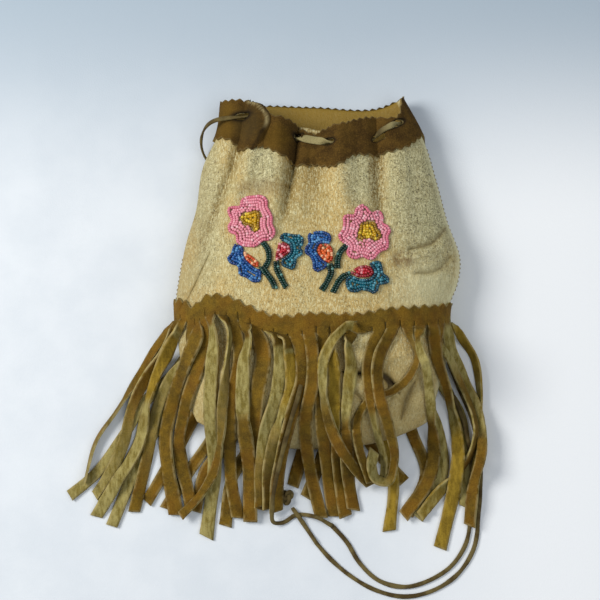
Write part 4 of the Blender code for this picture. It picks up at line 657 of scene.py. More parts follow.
def hide_panel(name, face, rim, sign, grid, holes, look):
    """One hide panel: a closed skin between its inner face and its outer one."""
    columns, rows = grid
    across, along = np.meshgrid(spaced(columns), risen(rows))
    under = face(across, along)
    top = over(face, across, along, HIDE, sign)
    keep = pierce(top, under, holes)[:, :-1]
    x, y = plan(across, along, rim)
    front = sign > 0
    shared = {
        "seam": np.clip((np.abs(across) - 0.955) / 0.03, 0, 1) * (across > 0),
        # Painted shade in the valleys of the big folds
        "valley": np.clip(-fold_sum(x, y) / 5, 0, 1) * np.clip(along * 3 - 0.5, 0, 1) * front,
        # Painted shade in the deep creases
        "crease": creased(x, y) * front,
        # The lower front: painted light, and more specks
        "low": np.clip((-18 - y) / 22, 0, 1) * front,
    }
    marks = {mark: both(value, value) for mark, value in shared.items()}
    marks["inner"] = under_only(across.shape)
    quads = skin_quads(rows, columns, keep=keep, turned=sign < 0)
    return put_mesh(name, both(top, under), quads, look, marks, skin=True)


def collar_ring(look):
    """The suede band round the mouth, outside both panels, pinked along both its edges."""
    front_columns, rows = COLLAR_GRID
    across_f, across_b = spaced(front_columns), spaced(COLLAR_BACK)[-2:1:-1]
    back_low = np.full(across_b.shape, BACK_COLLAR_LOW)
    share = np.linspace(0, 1, rows)[:, None]
    skins = []
    for across, face, rim, sign, low, rise in (
            (across_f, front_inside, front_rim, 1, collar_low(across_f), collar_rise(across_f)),
            (across_b, back_inside, back_rim, -1, back_low, BACK_COLLAR_RISE)):
        run = run_along(face(across, along_at(across, low + 10, rim)))
        bottom = low - teeth(run, PINK_COLLAR)
        y = bottom + (rim(across) + rise - 0.8 * teeth(run + 1.7, PINK_COLLAR) - bottom) * share
        wide = np.broadcast_to(across, y.shape)
        along = along_at(wide, y, rim)
        skins.append([over(face, wide, along, HIDE + GAP + thick, sign) for thick in (0, SUEDE)])
    under, top = [np.concatenate([skins[0][k], skins[1][k]], 1) for k in (0, 1)]
    keep = pierce(top, under, FRONT_HOLES + BACK_HOLES)
    # Ear's edge pale above, painted shadow below; the back's upper rows dark; painted shade round the holes
    lap, high = ear_line(top[..., 1]) - top[..., 0], np.clip((top[..., 1] - 121) / 5, 0, 1)
    edge = np.exp(-(lap / 1.1) ** 2) * high
    edge[:, front_columns:] = 0
    edge[[0, -1]] = np.maximum(edge[[0, -1]], 0.3)
    dark = 0.75 * np.exp(-(lap / 1.2) ** 2) * (1 - high) * (top[..., 1] > 104)
    dark[:, front_columns:] = 0
    dark[-4:, front_columns:] = 0.8
    for hole, spread in zip(FRONT_HOLES, (0.7, 0.6, 0.3, 0.2, 0.35)):
        dark = np.maximum(dark, np.exp(-((hole.spread(top)[0] - 1) / spread) ** 2))
    marks = {"edge": both(edge, edge), "dark": both(dark, dark), "inner": under_only(edge.shape)}
    quads = skin_quads(rows, top.shape[1], True, keep)
    return put_mesh("collar_suede", both(top, under), quads, look, marks, skin=True)


# Fringe

class Heights:
    """The height of what lies on the floor, on a square grid over the plan."""

    def __init__(self, cell=0.5):
        self.cell, self.x0, self.y0 = cell, -150.0, -185.0
        self.z = np.zeros((int(300 / cell), int(345 / cell)))

    def index(self, x, y):
        """Grid cell of each place, held inside the grid."""
        i = np.clip(((x - self.x0) / self.cell).astype(int), 0, self.z.shape[0] - 2)
        j = np.clip(((y - self.y0) / self.cell).astype(int), 0, self.z.shape[1] - 2)
        return i, j

    def at(self, x, y):
        """Height at each place, the highest of the four cells around it."""
        i, j = self.index(x - self.cell / 2, y - self.cell / 2)
        z = self.z
        return np.maximum(np.maximum(z[i, j], z[i + 1, j]), np.maximum(z[i, j + 1], z[i + 1, j + 1]))

    def raise_to(self, points):
        """Lift each cell to the height of what now covers it."""
        points = points.reshape(-1, 3)
        i, j = self.index(points[:, 0], points[:, 1])
        np.maximum.at(self.z, (i, j), points[:, 2])


def denser(grid, times):
    """A grid of points with times as many rows and columns, by straight mixing."""
    for axis in (0, 1):
        n = grid.shape[axis]
        place = np.linspace(0, n - 1, (n - 1) * times + 1)
        low = np.minimum(place.astype(int), n - 2)
        part = (place - low).reshape([-1 if k == axis else 1 for k in range(3)])
        grid = np.take(grid, low, axis) * (1 - part) + np.take(grid, low + 1, axis) * part
    return grid


def settle(ground, run, fall=1.1):
    """A strip's height along its run: over the ground everywhere, never falling faster than fall."""
    held = (ground[None, :] - fall * np.abs(run[:, None] - run[None, :])).max(axis=1)
    return np.maximum(blurred(held, 9), ground)


def lay_strip(heights, start, route, turns, wide, seed):
    """Under face of one strip: it leaves its start points, follows its route and rests on what is there."""
    pick = np.random.default_rng(seed)
    middle = spline([start.mean(axis=0)[:2], *route], STATIONS)
    share = np.linspace(0, 1, STATIONS)
    length = np.linalg.norm(np.diff(middle, axis=0), axis=1).sum()
    heading = unit(np.gradient(middle, axis=0))
    first = (start[-1] - start[0])[:2]
    # In its first millimetres the strip turns from the band's way to its own
    leaving = 9
    mix = np.clip(share * length / leaving, 0, 1)[:, None]
    side = unit(quarter_turn(heading) * mix + first / np.linalg.norm(first) * (1 - mix))
    sway = 9 * mix[:, 0] * waves(share * 100, 0, 60, seed, 5)
    turn = np.radians(np.interp(share, *np.array(turns, float).T) + sway)
    broad = np.linalg.norm(first) / 2 * (1 - mix[:, 0]) + STRIP_WIDE / 2 * wide * mix[:, 0]
    broad = broad * (1 + 0.07 * waves(share * 100, 0, 30, seed + 50, 5))
    u = np.linspace(-1, 1, start.shape[0])
    out = u * (broad * np.cos(turn))[:, None]
    up = u * (broad * np.sin(turn))[:, None] + (broad * np.abs(np.sin(turn)))[:, None]
    curl = 0.9 * mix * waves(share * 100, 0, 45, seed + 90, 5)[:, None]
    up = up + curl * u ** 2 - np.minimum(curl, 0)
    x, y = middle[:, :1] + side[:, :1] * out, middle[:, 1:] + side[:, 1:] * out
    ground = heights.at(x, y)
    slope = np.clip((ground[:, -1] - ground[:, 0]) / (2 * broad), -0.7, 0.7) * np.cos(turn)
    lean = blurred(slope, 15)
    lean[0] = (start[-1, 2] - start[0, 2]) / np.linalg.norm(first)
    lean = lean[0] * (1 - mix[:, 0]) + lean * mix[:, 0]
    run = share * length
    need = (ground + 0.15 - lean[:, None] * out - up).max(axis=1)
    begin = start[:, 2].mean()
    need = np.where(run < 3, np.minimum(need, begin + 0.3 * run), need)
    level = settle(need, run)
    level = begin + (level - begin) * np.clip(run / 4, 0, 1)
    # The end is cut at a slant
    tip = heading[:, None, :] * (u * pick.uniform(-1.6, 1.6))[None, :, None]
    slant = np.clip((share - 0.93) / 0.07, 0, 1)[:, None]
    z = level[:, None] + lean[:, None] * out + up
    points = np.stack([x + tip[..., 0] * slant, y + tip[..., 1] * slant, z], -1)
    points[0] = start
    steep = np.gradient(level, run)
    thick = (SUEDE * np.sqrt(1 + lean ** 2 + steep ** 2) + GAP)[:, None]
    cover = points.copy()
    cover[..., 2] += thick
    heights.raise_to(denser(cover, 4))
    return points


def fringe(name, bands, strips, heights, look, seed):
    """A band and its cut strips as one closed skin.

    bands holds the band's two faces, (rows, strips, columns, 3). The strips are in the order they lie, each
    with its slot, route, tones, turns and width as a share.
    """
    under, top = bands
    rows, count, columns = under.shape[:3]
    all_under = np.zeros((rows + STATIONS - 1, count, columns, 3))
    all_top, tone = all_under.copy(), np.zeros(all_under.shape[:3])
    all_under[:rows], all_top[:rows] = under, top
    pick = np.random.default_rng(seed)
    share, down, band_tone = np.linspace(0, 1, STATIONS), np.linspace(0, 1, rows)[:, None], 0.1
    for slot, route, tones, turns, wide in strips:
        strip = lay_strip(heights, under[-1, slot], route, turns, wide, seed + slot)
        normal = -unit(np.cross(np.gradient(strip, axis=1), np.gradient(strip, axis=0)))
        if normal[STATIONS // 2, columns // 2, 2] < 0:
            normal = -normal
        lift = strip + normal * SUEDE
        lift[0] = top[-1, slot]
        all_under[rows - 1:, slot], all_top[rows - 1:, slot] = strip, lift
        tone[rows - 1:, slot] = np.interp(share, *np.array(tones, float).T)[:, None]
        luck = band_tone + 0.04 * pick.uniform(-1, 1)
        tone[:rows, slot] = luck + (tones[0][1] - band_tone) * down ** 3
    edge = np.zeros(tone.shape)
    edge[rows:, :, 0] = edge[rows:, :, -1] = edge[-1] = edge[0] = 1
    flat = (rows + STATIONS - 1, count * columns)
    keep = np.ones((flat[0] - 1, flat[1] - 1), bool)
    for slit, begin in enumerate(pick.integers(rows * 2 // 3, rows, count)[:-1]):
        keep[begin - 1:, (slit + 1) * columns - 1] = False
    tone, edge = tone.reshape(flat), edge.reshape(flat)
    marks = {"tone": both(tone, tone + 0.5), "edge": both(edge, edge), "inner": under_only(flat)}
    run = np.broadcast_to(np.arange(flat[0], dtype=float)[:, None], flat)
    side = np.broadcast_to(np.arange(flat[1]) / columns, flat)
    uv = np.stack([both(side, side), both(run, run) * 0.2], 1)
    points = both(all_top.reshape(*flat, 3), all_under.reshape(*flat, 3))
    return put_mesh(name, points, skin_quads(*flat, keep=keep), look, marks, uv, skin=True)


def front_bands():
    """Both faces of the front band: over the hide, pinked at the top, divided at the slits."""
    rows, columns, slit = 14, 7, 0.03
    fine = np.linspace(-1, 1, 801)
    run = run_along(front_inside(fine, along_at(fine, np.full(fine.shape, -10.0), front_rim)))
    places = run[-1] * np.interp(np.arange(STRIPS + 1), *np.array(SLOTS).T)
    where = places[:-1, None] + np.diff(places)[:, None] * np.linspace(slit, 1 - slit, columns)
    across = np.interp(where, run, fine)
    top_y = band_top(across) - teeth(where, PINK_BAND)
    y = top_y - (BAND_DEEP - (band_top(across) - top_y)) * np.linspace(0, 1, rows)[:, None, None]
    across = np.broadcast_to(across, y.shape)
    along = along_at(across, y, front_rim)
    # The pinked edge stands off the hide a little
    lift = 0.35 * np.exp(-np.linspace(0, 1, rows) * 6)[:, None, None]
    return [over(front_inside, across, along, HIDE + GAP + lift + thick, 1) for thick in (0, SUEDE)]


def back_bands():
    """Both faces of the back band, flat on the floor under the pouch."""
    rows, columns = 5, 5
    middle = BACK_FIRST + BACK_PITCH * np.arange(len(BACK_STRIPS))
    x = middle[:, None] + STRIP_WIDE / 2 * np.linspace(-1, 1, columns)
    y = BACK_BAND_TOP - teeth(x, PINK_BAND) - (BAND_DEEP - 3) * np.linspace(0, 1, rows)[:, None, None]
    x, y = np.broadcast_arrays(x, y)
    return [np.stack([x, y, np.full(x.shape, z)], -1) for z in (0.0, SUEDE)]


# Lace

def lay_lace(heights, route):
    """Centreline of a stretch of lace laid on what is there, which it then covers."""
    half, wide, columns = 0.85, 1.5, 7
    length = np.linalg.norm(np.diff(np.array(route, float), axis=0), axis=1).sum()
    line = spline(route, int(length))
    side = quarter_turn(unit(np.gradient(line, axis=0)))
    places = line[:, None, :] + side[:, None, :] * np.linspace(-wide, wide, columns)[None, :, None]
    ground = heights.at(places[..., 0], places[..., 1]).max(axis=1)
    level = settle(ground, np.linspace(0, length, len(line)), 0.7) + half
    cover = np.repeat(level[:, None] + half + 0.2, columns, 1)
    heights.raise_to(denser(np.dstack([places, cover]), 2))
    return np.column_stack([line, level])


def inside_out(across, holes):
    """Where the lace is: 1 outside the pouch and 0 inside, changing at each hole."""
    ramp = 0.28 * HOLE_LONG / 68
    state = np.ones(len(across))
    for k, hole in enumerate(holes):
        turn = np.clip((across - hole) / ramp / 2 + 0.5, 0, 1)
        state += -turn if k % 2 == 0 else turn
    return state


def threaded(across, level, rim, face, sign, state):
    """The lace along the mouth, over the suede where state is 1 and under the hide where it is 0."""
    outer, inner = HIDE + SUEDE + 2 * GAP + 0.8, -2 * GAP - 0.8
    return over(face, across, along_at(across, level(across), rim), inner + (outer - inner) * state, sign)


def keep_clear(line, things, room):
    """Push a line of points away from solids that are nearer than room, and soften its bends.

    It gives the line and, for each point, the way up of the lace: out of the solid beside it near the mouth.
    """
    view = bpy.context.evaluated_depsgraph_get()
    trees = [BVHTree.FromObject(thing, view) for thing in things]
    room, line = room * 0.001, (line + SHIFT) * 0.001
    softened, rounds = 40, 60
    for turn in range(rounds):
        if turn < softened:
            line[1:-1] = line[1:-1] * 0.7 + (line[:-2] + line[2:]) * 0.15
        for k, point in enumerate(line):
            for tree in trees:
                near, normal, _, far = tree.find_nearest(Vector(point), room)
                if near is None:
                    continue
                away = (Vector(point) - near) / max(far, 1e-7)
                if away.dot(normal) < -0.95:
                    away, far = -away, -far
                line[k] += np.array(away) * (room - far) * 0.6
    ups = np.tile(UPWARD, (len(line), 1))
    for k, point in enumerate(line):
        for tree in trees:
            near, _, _, far = tree.find_nearest(Vector(point), room + 1.5)
            if near is not None and 0.06 < point[1]:
                ups[k] = np.array(Vector(point) - near) / max(far, 1e-7)
    return line * 1000 - SHIFT, ups


def sweep(name, points, ups, wide, high, look, sides=10, closed=False, power=1.0):
    """A ribbon or tube: an oval section of half sizes wide and high carried along a line of points.

    A power under 1 makes the section squarer; the ends of an open line are drawn in and capped.
    """
    heading = unit(np.roll(points, -1, 0) - np.roll(points, 1, 0) if closed else np.gradient(points, axis=0))
    side = unit(np.cross(heading, ups))
    up = np.cross(side, heading)
    turn = np.arange(sides) * 2 * np.pi / sides + np.pi / sides
    s, c = np.sin(turn), np.cos(turn)
    s, c = np.sign(s) * np.abs(s) ** power, np.sign(c) * np.abs(c) ** power
    n = len(points)
    out, rise = c * np.broadcast_to(wide, n)[:, None], s * np.broadcast_to(high, n)[:, None]
    ring = points[:, None] + side[:, None] * out[..., None] + up[:, None] * rise[..., None]
    spot = np.arange(n * sides).reshape(n, sides)
    onward, beside = np.roll(spot, -1, 0), np.roll(spot, -1, 1)
    quads = np.stack([spot, beside, np.roll(beside, -1, 0), onward], -1)
    if not closed:
        for end in (0, -1):
            ring[end] = points[end] + (ring[end] - points[end]) * 0.75
        caps = [[row[k], row[k + 1], row[sides - 2 - k], row[sides - 1 - k]]
                for row in (spot[0][::-1], spot[-1]) for k in range(sides // 2 - 1)]
        quads = np.concatenate([quads[:-1].reshape(-1, 4), np.array(caps)])
    uv = np.stack([np.tile(np.arange(sides) / sides, n), np.repeat(run_along(points), sides)], 1)
    return put_mesh(name, ring.reshape(-1, 3), quads.reshape(-1, 4), look, uv=uv)


# Beads

def inside(points, outline):
    """Whether each point is inside a closed line, by counting crossings."""
    x, y = points[:, :1], points[:, 1:]
    a, b = outline, np.roll(outline, -1, 0)
    crossing = (a[:, 1] > y) != (b[:, 1] > y)
    at = a[:, 0] + (y - a[:, 1]) / np.where(b[:, 1] == a[:, 1], 1e-9, b[:, 1] - a[:, 1]) * (b[:, 0] - a[:, 0])
    return (crossing & (x < at)).sum(axis=1) % 2 == 1


def far_from(points, line):
    """Distance of each point to a line of points."""
    return np.sqrt(((points[:, None, :] - line[None, :, :]) ** 2).sum(-1).min(axis=1))


def place_beads(candidates, headings, taken, apart):
    """Take candidates in order where they are apart from all beads so far; return places and headings."""
    got, turned = [], []
    for p, h in zip(candidates, headings):
        near = np.array(taken) - p if taken else np.full((1, 2), 9.0)
        if (near ** 2).sum(axis=1).min() > apart ** 2:
            taken.append(p)
            got.append(p)
            turned.append(h)
    return got, turned


def fitting(places, edge, rims, room):
    """Whether each place is inside a field with that room to its edge, and well outside its holes."""
    rim_room = 0.8
    fit = inside(places, edge) & (far_from(places, edge) > room)
    for rim in rims:
        fit &= ~inside(places, rim) & (far_from(places, rim) > rim_room)
    return fit


def field_beads(outline, holes, seed):
    """Beads in rows that follow a field's outline inwards, round its holes, gaps filled last."""
    edge = closed_line(outline, FIELD_POINTS)
    rims = [closed_line(hole, RIM_POINTS) for hole in holes]
    taken, spots, turns, level = [], [], [], []
    along = unit(np.roll(edge, -1, 0) - np.roll(edge, 1, 0))
    inward, depth, tries, loose_apart = quarter_turn(along), 9, 4000, 1.5
    for row in range(depth):
        d = (row + 0.5) * BEAD_ROW
        line = edge + inward * d
        fit = fitting(line, edge, rims, d - 0.25)
        got, turned = place_beads(line[fit], along[fit], taken, BEAD_APART)
        spots, turns, level = spots + got, turns + turned, level + [row] * len(got)
    pick = np.random.default_rng(seed)
    loose = pick.uniform(edge.min(0), edge.max(0), (tries, 2))
    loose = loose[fitting(loose, edge, rims, 0.7)]
    turn = pick.uniform(0, np.pi, len(loose))
    got, turned = place_beads(loose, np.stack([np.cos(turn), np.sin(turn)], 1), taken, loose_apart)
    return np.array(spots + got), np.array(turns + turned), np.array(level + [depth] * len(got))


def line_beads(line, widths):
    """Beads in rows beside a line, as many rows as its (share, width) table has room for."""
    count = 200
    path = spline(line, count)
    taken, spots, turns = [], [], []
    heading = unit(np.gradient(path, axis=0))
    side = quarter_turn(heading)
    room = np.interp(np.linspace(0, 1, count), *np.array(widths, float).T) / 2
    for off in (-0.5, 0.5, -1.5, 1.5):
        fit = np.abs(off) * BEAD_ROW + BEAD_ROW / 2 <= room + 0.35
        got, turned = place_beads((path + side * off * BEAD_ROW)[fit], heading[fit], taken, BEAD_APART)
        spots, turns = spots + got, turns + turned
    return np.array(spots), np.array(turns)


def bead_mesh(name, spots, turns, shades, look, seed):
    """Seed beads on the front: each a low torus with its hole along its row, from one small shape."""
    pick = np.random.default_rng(seed)
    count, grid = len(spots), BEAD_GRID
    ring, wall, half_long = 0.64, 0.39, 0.84
    around, tube = [np.arange(n) * np.pi / (n / 2) for n in grid]
    r = ring + wall * np.sign(np.cos(tube)) * np.abs(np.cos(tube)) ** 0.6
    shape = [np.broadcast_to(half_long * np.sin(tube), grid), np.outer(np.cos(around), r),
             np.outer(np.sin(around), r)]
    spot = np.arange(np.prod(grid)).reshape(grid)
    onward = np.roll(spot, -1, 0)
    quads = np.stack([spot, onward, np.roll(onward, -1, 1), np.roll(spot, -1, 1)], -1).reshape(-1, 4)
    height = HIDE + BEAD / 2 + 0.05 + pick.uniform(-0.05, 0.12, count)
    base, normal = on_front(spots[:, 0], spots[:, 1], height)
    turn = pick.normal(0, 0.07, count)
    heading = np.column_stack([turns, np.zeros(count)])
    heading = unit(heading - normal * (heading * normal).sum(1, keepdims=True))
    side = np.cross(normal, heading)
    heading = heading * np.cos(turn)[:, None] + side * np.sin(turn)[:, None]
    side = np.cross(normal, heading)
    tilt = pick.normal(0, 0.06, count)[:, None]
    normal = normal + heading * tilt
    points = base[:, None, None]
    size = pick.uniform(0.98, 1.08, (count, 1, 1, 1))
    for part, way in zip(shape, (heading, side, normal)):
        points = points + part[None, ..., None] * size * way[:, None, None]
    all_quads = (quads[None] + spot.size * np.arange(count)[:, None, None]).reshape(-1, 4)
    shade = np.clip(shades + pick.uniform(-0.5, 0.5, count) * 0.5, 0, 1)
    marks = {"shade": np.repeat(shade, spot.size), "luck": np.repeat(pick.uniform(0, 1, count), spot.size)}
    return put_mesh(name, points.reshape(-1, 3), all_quads, look, marks)


# Materials

class Value:
    """A node's output socket, with arithmetic that adds Math nodes to its material."""

    def __init__(self, look, socket):
        self.look, self.socket = look, socket

    def made(self, kind, *inputs):
        """A Math node of that kind."""
        return self.look.node("ShaderNodeMath", {"operation": kind}, *inputs)

    def __add__(self, other):
        return self.made("ADD", self, other)

    def __sub__(self, other):
        return self.made("SUBTRACT", self, other)

    def __rsub__(self, other):
        return self.made("SUBTRACT", other, self)

    def __mul__(self, other):
        return self.made("MULTIPLY", self, other)

    __radd__, __rmul__ = __add__, __mul__

    def between(self, low, high):
        """0 below low, 1 above high, smooth between."""
        settings = {"interpolation_type": "SMOOTHSTEP"}
        return self.look.node("ShaderNodeMapRange", settings, self, low, high, 0.0, 1.0)


class Look:
    """A material being made; each method adds nodes and gives back their output."""

    def __init__(self, name, **constants):
        self.material = bpy.data.materials.new(name)
        self.material.use_nodes = True
        self.tree = self.material.node_tree
        self.shader = self.tree.nodes["Principled BSDF"]
        for key, value in constants.items():
            self.shader.inputs[key.replace("_", " ")].default_value = value
        place = self.node("ShaderNodeTexCoord", {}, out="Object")
        self.place = self.node("ShaderNodeVectorMath", {"operation": "SCALE"}, place, Scale=1000.0)

    def node(self, kind, settings, *inputs, out=0, **named):
        """Any node: its settings, then its inputs in order or by name, each a value or an output."""
        made = self.tree.nodes.new(kind)
        for key, value in settings.items():
            setattr(made, key, value)
        for key, value in [*enumerate(inputs), *named.items()]:
            if isinstance(value, Value):
                self.tree.links.new(value.socket, made.inputs[key])
            else:
                made.inputs[key].default_value = value
        return Value(self, made.outputs[out])

    def stretched(self, x, y, z):
        """The place in mm with each axis divided by a length."""
        return self.node("ShaderNodeVectorMath", {"operation": "DIVIDE"}, self.place, (x, y, z))

    def noise(self, size, detail=3.0, rough=0.55, place=None, warp=0.0):
        """Noise of about that size in mm, or of about 1 in a stretched place."""
        return self.node("ShaderNodeTexNoise", {}, Vector=place or self.place, Scale=1.0 / size,
                         Detail=detail, Roughness=rough, Distortion=warp)

    def cells(self, size, place):
        """Distance from the edges of random cells of about that size."""
        settings = {"feature": "DISTANCE_TO_EDGE"}
        return self.node("ShaderNodeTexVoronoi", settings, Vector=place, Scale=1.0 / size)

    def mark(self, name):
        """A number written on the mesh's points."""
        return self.node("ShaderNodeAttribute", {"attribute_name": name}, out="Fac")

    def mix(self, share, first, second):
        """One colour turning into another."""
        made = self.tree.nodes.new("ShaderNodeMix")
        made.data_type = "RGBA"
        for key, value in ((0, share), (6, first), (7, second)):
            if isinstance(value, Value):
                self.tree.links.new(value.socket, made.inputs[key])
            else:
                made.inputs[key].default_value = (*value, 1.0) if key else value
        return Value(self, made.outputs[2])

    def spot(self, x, y, wide, tall=None):
        """1 at a plan place, fading to 0 about wide and tall away."""
        middle, shares = (x + SHIFT[0], y + SHIFT[1], 0), (1 / wide, 1 / (tall or wide), 0)
        away = self.node("ShaderNodeVectorMath", {"operation": "SUBTRACT"}, self.place, middle)
        away = self.node("ShaderNodeVectorMath", {"operation": "MULTIPLY"}, away, shares)
        far = self.node("ShaderNodeVectorMath", {"operation": "LENGTH"}, away, out="Value")
        return 1.0 - far.between(0.3, 1.0)

    def colour_and_light_patches(self, base, *stains):
        """A colour with patches over it, each a (spot, strength, colour): stains and tones, and painted light
        and shade.
        """
        for spot, strength, colour in stains:
            base = self.mix(self.spot(*spot) * strength, base, colour)
        return base

    def finish(self, colour, rough, height, strength, distance):
        """Put the colour, the roughness unless it is None, and the bump on the shader."""
        self.tree.links.new(colour.socket, self.shader.inputs["Base Color"])
        if rough is not None:
            self.tree.links.new(rough.socket, self.shader.inputs["Roughness"])
        bump = self.node("ShaderNodeBump", {}, Strength=strength, Distance=distance, Height=height,
                         out="Normal")
        self.tree.links.new(bump.socket, self.shader.inputs["Normal"])
        return self.material


def rgb(red, green, blue):
    """A display colour, 0 to 255, as linear light."""
    v = np.array((red, green, blue)) / 255
    return tuple(float(c) for c in np.where(v <= 0.04045, v / 12.92, ((v + 0.055) / 1.055) ** 2.4))


HIDE_PEACH, HIDE_CREAM, HIDE_GREY = rgb(188, 159, 94), rgb(186, 169, 114), rgb(168, 162, 120)
HIDE_PALE, HIDE_SHADE_AND_STREAK, HIDE_PIT = rgb(228, 221, 174), rgb(126, 100, 38), rgb(66, 54, 26)
HIDE_SPECK, HIDE_STAIN = rgb(58, 52, 40), rgb(108, 78, 36)
HIDE_CREASE_SHADE, HIDE_LOW, HIDE_DIM = rgb(46, 32, 12), rgb(198, 172, 108), rgb(132, 118, 78)
GOLD, GOLD_DARK = rgb(138, 108, 22), rgb(106, 80, 18)
CUT_EDGE, HOLE_DARK = rgb(172, 156, 110), rgb(16, 12, 8)
SUEDE_DARK, SUEDE_LIGHT, SUEDE_NAP = rgb(56, 38, 12), rgb(90, 66, 24), rgb(114, 86, 36)
STRIP_DARK, STRIP_BROWN = rgb(80, 61, 13), rgb(119, 91, 20)
STRIP_NAP, STRIP_PIT = rgb(140, 115, 46), rgb(52, 40, 10)
STRIP_CREAM, STRIP_OLIVE = rgb(164, 152, 94), rgb(118, 104, 46)
STRIP_GOLD, STRIP_OCHRE, STRIP_RUST = rgb(156, 128, 40), rgb(124, 100, 26), rgb(126, 82, 14)
LACE_DARK, LACE_LIGHT, LACE_PALE = rgb(70, 56, 26), rgb(108, 94, 54), rgb(158, 146, 100)
THREAD_DARK, THREAD_PALE = rgb(120, 102, 62), rgb(160, 142, 98)
FLOOR_DULL, FLOOR_PALE, FLOOR_BRIGHT = rgb(216, 222, 228), rgb(224, 229, 234), rgb(244, 246, 248)
FLOOR_BACK, FLOOR_AROUND = rgb(172, 186, 198), rgb(150, 158, 166)


def hide_look():
    """Greyish tan hide: peach clouds, painted shade in valleys, pale and dark grain, dark specks, brown
    stains.
    """
    look = Look("hide", Roughness=0.62, Specular_IOR_Level=0.35)
    clouds, streaks = look.noise(30, 4), look.noise(1, 4, 0.6, look.stretched(3, 26, 20))
    mottle, grain = look.noise(2.2, 5, 0.75, warp=0.8), look.noise(0.9, 3, 0.7)
    hairs = look.noise(1, 3, 0.7, look.stretched(0.8, 3.2, 3))
    drift = look.node("ShaderNodeTexNoise", {}, Vector=look.place, Scale=0.5, Detail=4.0, out="Color")
    bent = look.node("ShaderNodeVectorMath", {"operation": "MULTIPLY_ADD"}, drift, (3, 3, 3), look.place)
    crackle = 1.0 - look.cells(2.2, bent).between(0.01, 0.16)
    base = look.mix(clouds.between(0.35, 0.65), HIDE_PEACH, HIDE_CREAM)
    grey = (look.spot(92, 78, 38, 76) + look.spot(50, 92, 20, 36) + look.spot(-12, 98, 16, 26)
            + look.spot(-46, 70, 14, 70) * 0.7)
    base = look.mix(grey * 0.8, base, HIDE_GREY)
    base = look.colour_and_light_patches(base, ((27, 78, 22, 50), 0.7, HIDE_PEACH), ((63, 92, 8, 30), 0.6, HIDE_PEACH))
    # Painted shade: the fold valleys, a wide patch over the lower front and two more valleys, broken by the
    # streaks
    valley = (look.mark("valley") + look.spot(20, -60, 130, 58) * 0.25 + look.spot(2, 78, 11, 38) * 0.45
              + look.spot(61, 88, 7, 34) * 1.3)
    base = look.mix((valley * (streaks * 1.2 + 0.2)).between(0.0, 1.0) * 0.75, base, HIDE_SHADE_AND_STREAK)
    base = look.mix(streaks.between(0.5, 0.75) * 0.35, base, HIDE_SHADE_AND_STREAK)
    base = look.mix(hairs.between(0.48, 0.62) * 0.6, base, HIDE_PALE)
    base = look.mix(crackle * mottle.between(0.40, 0.60) * (0.2 + grey * 0.4), base, HIDE_PALE)
    base = look.mix((1.0 - mottle.between(0.36, 0.44)) * (0.3 + grey * 0.45), base, HIDE_PIT)
    base = look.mix((1.0 - grain.between(0.36, 0.44)) * (0.65 + grey * 0.2), base, HIDE_PIT)
    specks = look.noise(1.2, 3, 0.7).between(0.60, 0.64) * (0.15 + grey * 0.6 + look.mark("low") * 0.6)
    base = look.mix(specks, base, HIDE_SPECK)
    stain = look.spot(77, 34, 11, 8) * look.noise(4, 4).between(0.3, 0.55)
    base = look.mix(stain * 0.7, base, HIDE_STAIN)
    base = look.colour_and_light_patches(base, ((-14, 82, 22, 9), 0.4, HIDE_STAIN))
    # Painted light: the lower front, which faces away from the lamps, made lighter
    base = look.mix(look.mark("low") * 0.45, base, HIDE_LOW)
    # Painted light on the lower right bulge, and painted shade over the left side
    base = look.colour_and_light_patches(base, ((92, 14, 30, 26), 0.4, HIDE_PALE), ((-64, 60, 30, 140), 0.35, HIDE_DIM))
    # Painted shade in the creases: a soft brown halo, then a dark core
    base = look.mix(look.mark("crease").between(0.05, 0.8) * 0.5, base, HIDE_SHADE_AND_STREAK)
    base = look.mix(look.mark("crease").between(0.45, 1.0) * 0.9, base, HIDE_CREASE_SHADE)
    base = look.mix(look.mark("inner") * 0.9, base, GOLD)
    base = look.mix(look.mark("seam") * 0.6, base, HIDE_PALE)
    height = mottle * 0.7 + crackle * 0.2 + grain * 0.4 + streaks * 0.6
    return look.finish(base, 0.5 + mottle * 0.3, height, 0.7, 0.0007)


def suede_look():
    """Dark brown smoked suede with a soft nap, pale cut edges and a golden inner face."""
    look = Look("suede", Roughness=0.95, Specular_IOR_Level=0.15)
    clouds, nap = look.noise(10, 5, 0.65), look.noise(0.8, 4, 0.65)
    base = look.mix(clouds.between(0.3, 0.7), SUEDE_DARK, SUEDE_LIGHT)
    base = look.mix((1.0 - nap.between(0.38, 0.5)) * 0.35, base, STRIP_PIT)
    base = look.mix(nap.between(0.48, 0.66) * 0.45, base, SUEDE_NAP)
    # Golden patches, and painted shade on the collar's left roll
    base = look.colour_and_light_patches(base, ((-36, 130, 12, 22), 0.35, GOLD_DARK), ((-21, 126, 14, 18), 0.5, HIDE_PIT),
                        ((-2, 116, 13, 14), 0.35, GOLD_DARK))
    base = look.mix(look.mark("inner") * 0.95, base, look.mix(clouds.between(0.35, 0.65), GOLD, GOLD_DARK))
    base = look.mix(look.mark("edge") * 0.75, base, CUT_EDGE)
    # Painted shade round the holes and below the ear's edge, and the back's dark upper rows
    base = look.mix(look.mark("dark") * 0.85, base, HOLE_DARK)
    return look.finish(base, None, nap * 0.6 + look.noise(3.5, 3) * 0.6, 0.7, 0.0005)


